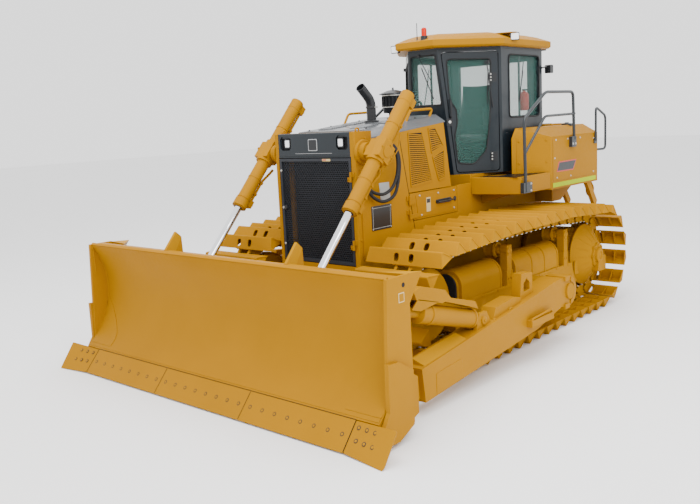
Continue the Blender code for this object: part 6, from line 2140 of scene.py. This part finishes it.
@dataclass
class Roof:
    """Roof with its lamps, beacon and aerial."""

    edge: float = 3.345
    beacon: Flat = (0.1, 0.5)

    def build(self) -> None:
        """Build the roof."""

        def parts(middle: Vector, normal: Vector) -> Finish | None:
            """Pick the finishes of beacon, aerial, lower rim and shell.

            Args:
                middle: Middle of the face.
                normal: Normal of the face.

            Returns:
                The finish, or None for the piece's own.
            """
            if middle.z > self.edge + 0.004 and abs(middle.y - 0.5) < 0.05 and abs(
                middle.x - self.beacon[0]
            ) < 0.05 and middle.z > 3.4:
                return BEACON_RED
            if abs(middle.x) < 0.012 and abs(middle.y - 0.5) < 0.012 and middle.z > 3.4:
                return BLACK
            if middle.z < 3.258:
                return CAB_GREY
            if abs(middle.y - 0.5) < 0.05 and abs(
                middle.x - self.beacon[0]
            ) < 0.05 and abs(normal.z) < 0.5 and middle.z > self.edge:
                return BLACK
            return YELLOW
        dress("cab_roof", YELLOW, 0.006, parts)
        work = Workpiece()
        x, y = self.beacon
        work.lathe(
            (x, y, 3.352), UP, ((0, 0.046), (0.01, 0.046), (0.014, 0.04), (0.052, 0.0405), (0.054, 0.034)),
            BLACK, 28)
        for z in (3.42, 3.44, 3.46):
            work.lathe((x, y, z), UP, ((0, 0.031), (0.002, 0.0325), (0.004, 0.031)), BEACON_RED, 28)
        work.lathe((0, y, 3.345), UP, ((0, 0.02), (0.02, 0.02), (0.03, 0.008), (0.06, 0.007)), BLACK, 16)
        self.lamp(work, Vector((-0.3, 0.45, 3.285)), Vector((0, -1, -0.1)))
        for sign in (-1, 1):
            self.lamp(work, Vector((sign * 0.62, 2.385, 3.29)), Vector((0, 1, -0.1)))
            self.lamp(work, Vector((sign * 0.812, 1.335, 3.366)), Vector((sign * 0.72, -0.69, -0.05)))
            work.prism(
                "Z", 3.408, 3.418,
                [(sign * 0.62, 1.22), (sign * 0.8, 1.29), (sign * 0.83, 1.35), (sign * 0.62, 1.52)])
            work.prism(
                "Z", 3.35, 3.41,
                [(sign * 0.62, 1.24), (sign * 0.65, 1.25), (sign * 0.65, 1.48), (sign * 0.62, 1.48)])
        work.tube([(0.742, 2.13, 3.02), (0.742, 2.24, 3.035), (0.742, 2.3, 3.02)], 0.01, BLACK, 8)
        work.prism("X", 0.7, 0.78, oblong((2.285, 2.955), (2.365, 3.06), 0.02), BLACK)
        work.place("roof_fittings", "chassis", 0.001)

    @staticmethod
    def lamp(work: Workpiece, middle: Vector, aim: Vector) -> None:
        """Add one square work lamp.

        Args:
            work: Workpiece to add to.
            middle: Middle of its lens.
            aim: Direction in which it shines.
        """
        aim = aim.normalized()
        side, up = across(aim)
        def pad(half_w: float, half_h: float, depth: float) -> list[Vector]:
            """Return one rounded section of the housing.

            Args:
                half_w: Half width.
                half_h: Half height.
                depth: Distance behind the lens.

            Returns:
                The section's points.
            """
            outline = oblong((-half_w, -half_h), (half_w, half_h), 0.01)
            return [middle + side * a + up * b - aim * depth for a, b in outline]
        work.loft(
            [
                pad(0.034, 0.028, 0.058), pad(0.054, 0.044, 0.036), pad(0.056, 0.046, 0.004),
                pad(0.052, 0.042, 0.0)],
            BLACK)
        work.loft([pad(0.046, 0.036, 0.001), pad(0.046, 0.036, -0.003), pad(0.04, 0.031, -0.005)], LENS)
        work.bar(middle - aim * 0.03, middle - aim * 0.03 + Vector((0, 0, 0.05)), 0.03, 0.012, BLACK)


# ================================================================ decks, tanks and rails
@dataclass
class Decks:
    """Walkways, tanks, rails and what is fixed to them."""

    out: float = 1.12
    floor: float = 1.745

    def decks(self) -> None:
        """Build the tread of the walkways and their edges."""
        dress_pair("deck", YELLOW, 0.004)
        work = Workpiece()
        for k in range(15):
            y = 0.84 + 0.052 * k
            inner = 0.575 if y < 0.98 else 0.76
            if y > 1.53:
                break
            work.box((inner, y, self.floor), (self.out - 0.03, y + 0.02, self.floor + 0.004), BLACK)
        for k in range(10):
            work.box(
                (0.6 + 0.05 * k, 0.83, self.floor + 0.001), (0.606 + 0.05 * k, 1.5, self.floor + 0.003), BLACK
            )
        work.prism("X", self.out - 0.001, self.out + 0.003, oblong((0.9, 1.575), (1.5, 1.72), 0.01))
        work.place_pair("deck_tread", "chassis", 0.0)

    def tanks(self) -> None:
        """Build the panels, stripe, blank plate and bolts of the tanks."""

        def rail(middle: Vector, normal: Vector) -> Finish | None:
            """Pick the dark enamel of the hand rails on the tank."""
            loop = middle.y > 2.945 and middle.z > 1.9
            return RAIL_GREY if loop or abs(middle.x) > self.out + 0.002 and middle.z > 1.9 else None
        dress_pair("side_tank", YELLOW, 0.006, rail)
        dress("rear_tank", YELLOW, 0.006)
        work = Workpiece()
        x = self.out
        panel = [
            (1.66, 2.15), (2.05, 2.155), (2.66, 2.16), (2.88, 2.11), (2.88, 1.64), (1.66, 1.63), (1.66, 1.95)]
        work.prism("X", x - 0.0005, x + 0.0045, rounded(panel, 0.02))
        work.prism("X", x - 0.0005, x + 0.0035, [(1.65, 1.545), (2.88, 1.545), (2.88, 1.62), (1.65, 1.615)])
        for y, z in (
            (1.735, 2.125), (1.7, 1.906), (1.757, 1.665), (2.13, 1.662), (2.793, 1.664), (2.8, 2.1),
            (2.4, 2.125), (2.05, 2.125)
        ):
            work.bolt((x + 0.0045, y, z), LEFT, 0.009, STEEL)
        plate = [(1.808, 1.858), (2.294, 1.861), (2.205, 1.73), (1.747, 1.734)]
        middle = Vector((sum(p[0] for p in plate) / 4, sum(p[1] for p in plate) / 4))
        work.prism("X", x + 0.0035, x + 0.006, plate, RED)
        inner = [tuple(middle + (Vector(p) - middle) * 0.93) for p in plate]
        inner = [(a, middle.y + (b - middle.y) * 0.86) for a, b in inner]
        work.prism("X", x + 0.0055, x + 0.0068, inner, BLACK)
        work.prism(
            "X", x + 0.002, x + 0.0052, [(1.652, 1.552), (2.87, 1.552), (2.87, 1.606), (1.652, 1.606)], LIME)
        work.place_pair("tank_panels", "chassis", 0.001)
        slant = Workpiece()
        near, far = Vector((0.8, 1.291, 0)), Vector((1.115, 1.621, 0))
        run = (far - near).normalized()
        out = Vector((run.y, -run.x, 0))
        def face(along: float, z: float, proud: float) -> Vector:
            """Return a point on the tank's slanted front."""
            return near + run * along + out * proud + Vector((0, 0, z))
        length = (far - near).length
        panel = [(0.03, 1.58), (length - 0.02, 1.58), (length - 0.02, 2.16), (0.03, 2.16)]
        slant.loft([[face(a, z, p) for a, z in rounded(panel, 0.02)] for p in (-0.001, 0.004)])
        slant.loft(
            [[face(a, z, p) for a, z in oblong((0.1, 1.62), (0.3, 1.82), 0.02)] for p in (0.003, 0.01)])
        slant.loft(
            [[face(a, z, p) for a, z in oblong((0.17, 1.69), (0.23, 1.73), 0.008)] for p in (0.009, 0.02)],
            BLACK)
        for along, z in ((0.06, 1.61), (0.4, 1.61), (0.06, 2.13), (0.4, 2.13), (0.06, 1.87), (0.4, 1.87)):
            slant.bolt(face(along, z, 0.004), out, 0.01)
        slant.loft(
            [
                [
                    face(a, z, p)
                    for a, z in [(0.012, 1.552), (length - 0.01, 1.552), (length - 0.01, 1.6), (0.012, 1.6)]]
                for p in (0.0, 0.003)],
            LIME)
        slant.place_pair("tank_lockers", "chassis", 0.001)
        top = Workpiece()
        top.lathe(
            (0.92, 2.45, 2.275), UP, ((0, 0.07), (0.028, 0.07), (0.034, 0.062), (0.034, 0.02)), BLACK, 28)
        top.box((0.9, 2.43, 2.31), (0.94, 2.47, 2.322), BLACK)
        for y in (1.8, 2.15, 2.72):
            top.bolt((0.86, y, 2.285), UP, 0.011)
        top.place_pair("tank_tops", "chassis", 0.001)

    def rear(self) -> None:
        """Build the rear tank's panels, lamps, tread and cap, the hitch plate and the loops at its sides."""
        work = Workpiece()
        face = 2.91
        for sign in (-1, 1):
            work.prism(
                "Y", face - 0.001, face + 0.006,
                oblong((sign * 0.36 - 0.28, 1.62), (sign * 0.36 + 0.28, 2.1), 0.03))
            Roof.lamp(work, Vector((sign * 0.6, face + 0.05, 2.0)), Vector((0, 1, 0)))
            for px in (0.1, 0.36, 0.62):
                for z in (1.64, 2.08):
                    work.bolt((sign * px, face + 0.006, z), REAR, 0.01)
        work.box((-0.02, face, 1.58), (0.02, face + 0.012, 2.16))
        for k in range(6):
            work.box(
                (-0.62 + 0.012 * k, 2.42 + 0.06 * k, 2.31), (0.62 - 0.012 * k, 2.44 + 0.06 * k, 2.3135), BLACK
            )
        work.lathe(
            (0.0, 2.6, 2.308), UP, ((0, 0.075), (0.03, 0.075), (0.037, 0.066), (0.037, 0.02)), BLACK, 28)
        hitch = 2.71
        for px in (-0.22, 0.22):
            for z in (0.7, 1.02):
                work.bolt((px, hitch, z), REAR, 0.022)
        work.prism("Y", hitch - 0.001, hitch + 0.01, oblong((-0.3, 0.65), (0.3, 1.07), 0.03))
        work.place("rear_fittings", "chassis", 0.001)
        loop = Workpiece()
        loop.tube(
            bent_path(
                [
                    (1.02, 2.8, 1.535), (1.02, 2.82, 1.36), (1.02, 2.98, 1.3), (1.02, 3.04, 1.42),
                    (1.02, 2.94, 1.52)],
                0.05),
            0.012, YELLOW, 10)
        loop.place_pair("rear_loops", "chassis")

    def rails(self) -> None:
        """Build the rails with their clamps."""
        dress_pair("deck_rail", RAIL_GREY, 0.001)
        work = Workpiece()
        x = self.out + 0.019 + 0.016
        for z in (1.58, 1.66):
            work.bolt((x + 0.008, 1.03, z), LEFT, 0.011, STEEL)
        for y in (2.115, 2.185):
            work.bolt((x + 0.01, y, 2.06), LEFT, 0.011, STEEL)
        work.lathe(
            (x, 2.155, 2.42), UP, ((0, 0.02), (0.002, 0.024), (0.02, 0.024), (0.022, 0.02)), RAIL_GREY, 16)
        work.place_pair("rail_bolts", "chassis")

    def build(self) -> None:
        """Build decks, tanks and rails."""
        self.decks()
        self.tanks()
        self.rear()
        self.rails()


@dataclass
class Hull:
    """Main frame, engine and what shows between hull and chains."""

    def build(self) -> None:
        """Build the hull's details."""
        dress("main_frame", YELLOW, 0.006)
        dress("engine", DARK_PARTS_AND_SHADE, 0.0)
        work = Workpiece()
        for sign in (-1, 1):
            for y in (-0.8, -0.3, 0.2, 0.6, 1.1, 1.6):
                work.bolt((sign * 0.5, y, 0.86), (sign, 0, 0), 0.014)
            low, high = sorted((sign * 0.499, sign * 0.506))
            work.prism("X", low, high, oblong((-0.95, 0.5), (0.6, 0.82), 0.03))
        for y in (-0.7, 0.1, 0.9, 1.7):
            work.box((-0.44, y - 0.25, 0.4455), (0.44, y + 0.25, 0.4505))
            for px in (-0.4, 0.4):
                for step in (-0.2, 0.2):
                    work.bolt((px, y + step, 0.4458), DOWN, 0.013)
        work.place("hull_plates", "chassis", 0.0015)


# ================================================================ studio
@dataclass
class Studio:
    """Pale floor, soft light and the camera."""

    camera_at: Point = (5.626, -7.247, 2.475)
    azimuth: float = 41.549
    elevation: float = 9.118
    roll: float = -2.836
    lens: float = 40.816
    shift: Flat = (0.00297, -0.00483)

    def floor(self) -> None:
        """Lay the pale floor."""
        shape = bmesh.new()
        bmesh.ops.create_grid(shape, x_segments=1, y_segments=1, size=60.0)
        mesh = bpy.data.meshes.new("studio_floor")
        shape.to_mesh(mesh)
        shape.free()
        look = bpy.data.materials.new("studio_white")
        look.use_nodes = True
        shader = look.node_tree.nodes["Principled BSDF"]
        shader.inputs["Base Color"].default_value = (0.9, 0.9, 0.9, 1.0)
        shader.inputs["Roughness"].default_value = 0.9
        mesh.materials.append(look)
        item = bpy.data.objects.new("studio_floor", mesh)
        bpy.context.scene.collection.objects.link(item)

    @staticmethod
    def sky(strength: float) -> None:
        """Fill the surroundings with soft white light.

        Args:
            strength: Brightness.
        """
        world = bpy.data.worlds.new("studio")
        world.use_nodes = True
        back = world.node_tree.nodes["Background"]
        back.inputs["Color"].default_value = (1.0, 1.0, 1.0, 1.0)
        back.inputs["Strength"].default_value = strength
        bpy.context.scene.world = world

    @staticmethod
    def lamp(name: str, at: Point, aim: Point, size: float, power: float) -> None:
        """Hang one square soft light.

        Args:
            name: Name of the light.
            at: Its place.
            aim: The point it shines at.
            size: Side of the square.
            power: Watts.
        """
        data = bpy.data.lights.new(name, "AREA")
        data.shape = "SQUARE"
        data.size = size
        data.energy = power
        item = bpy.data.objects.new(name, data)
        item.location = at
        item.rotation_euler = (Vector(aim) - Vector(at)).to_track_quat("-Z", "Y").to_euler()
        bpy.context.scene.collection.objects.link(item)

    def camera(self) -> None:
        """Place the camera."""
        turn, rise, tip = radians(self.azimuth), radians(self.elevation), radians(self.roll)
        back = Vector((sin(turn) * cos(rise), -cos(turn) * cos(rise), sin(rise)))
        right = Vector((cos(turn), sin(turn), 0))
        up = back.cross(right)
        across_x, across_y = right * cos(tip) + up * sin(tip), up * cos(tip) - right * sin(tip)
        data = bpy.data.cameras.new("camera")
        data.lens = self.lens
        data.shift_x, data.shift_y = self.shift
        item = bpy.data.objects.new("camera", data)
        item.matrix_world = Matrix.Translation(self.camera_at) @ Matrix(
            (across_x, across_y, back)).transposed().to_4x4()
        bpy.context.scene.collection.objects.link(item)
        bpy.context.scene.camera = item

    def build(self) -> None:
        """Set the studio up."""
        self.floor()
        self.sky(1.8)
        self.lamp("over", (1.0, -1.5, 9.0), (0, 0, 1.0), 8.0, 960.0)
        self.lamp("key", (7.5, -5.0, 6.5), (0.4, 0, 1.4), 3.5, 420.0)
        self.camera()


def main() -> None:
    """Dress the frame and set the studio."""
    logging.basicConfig(level=logging.INFO, format="%(message)s")
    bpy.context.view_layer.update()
    Studio().build()
    for part in (
        Hull(), Undercarriage(), Tracks(), Blade(), PushArms(), LiftCylinders(), Guard(), Hood(), Cab(),
        Roof(), Decks()
    ):
        part.build()
        LOG.info("built %s", type(part).__name__)


if __name__ == "__main__":
    main()
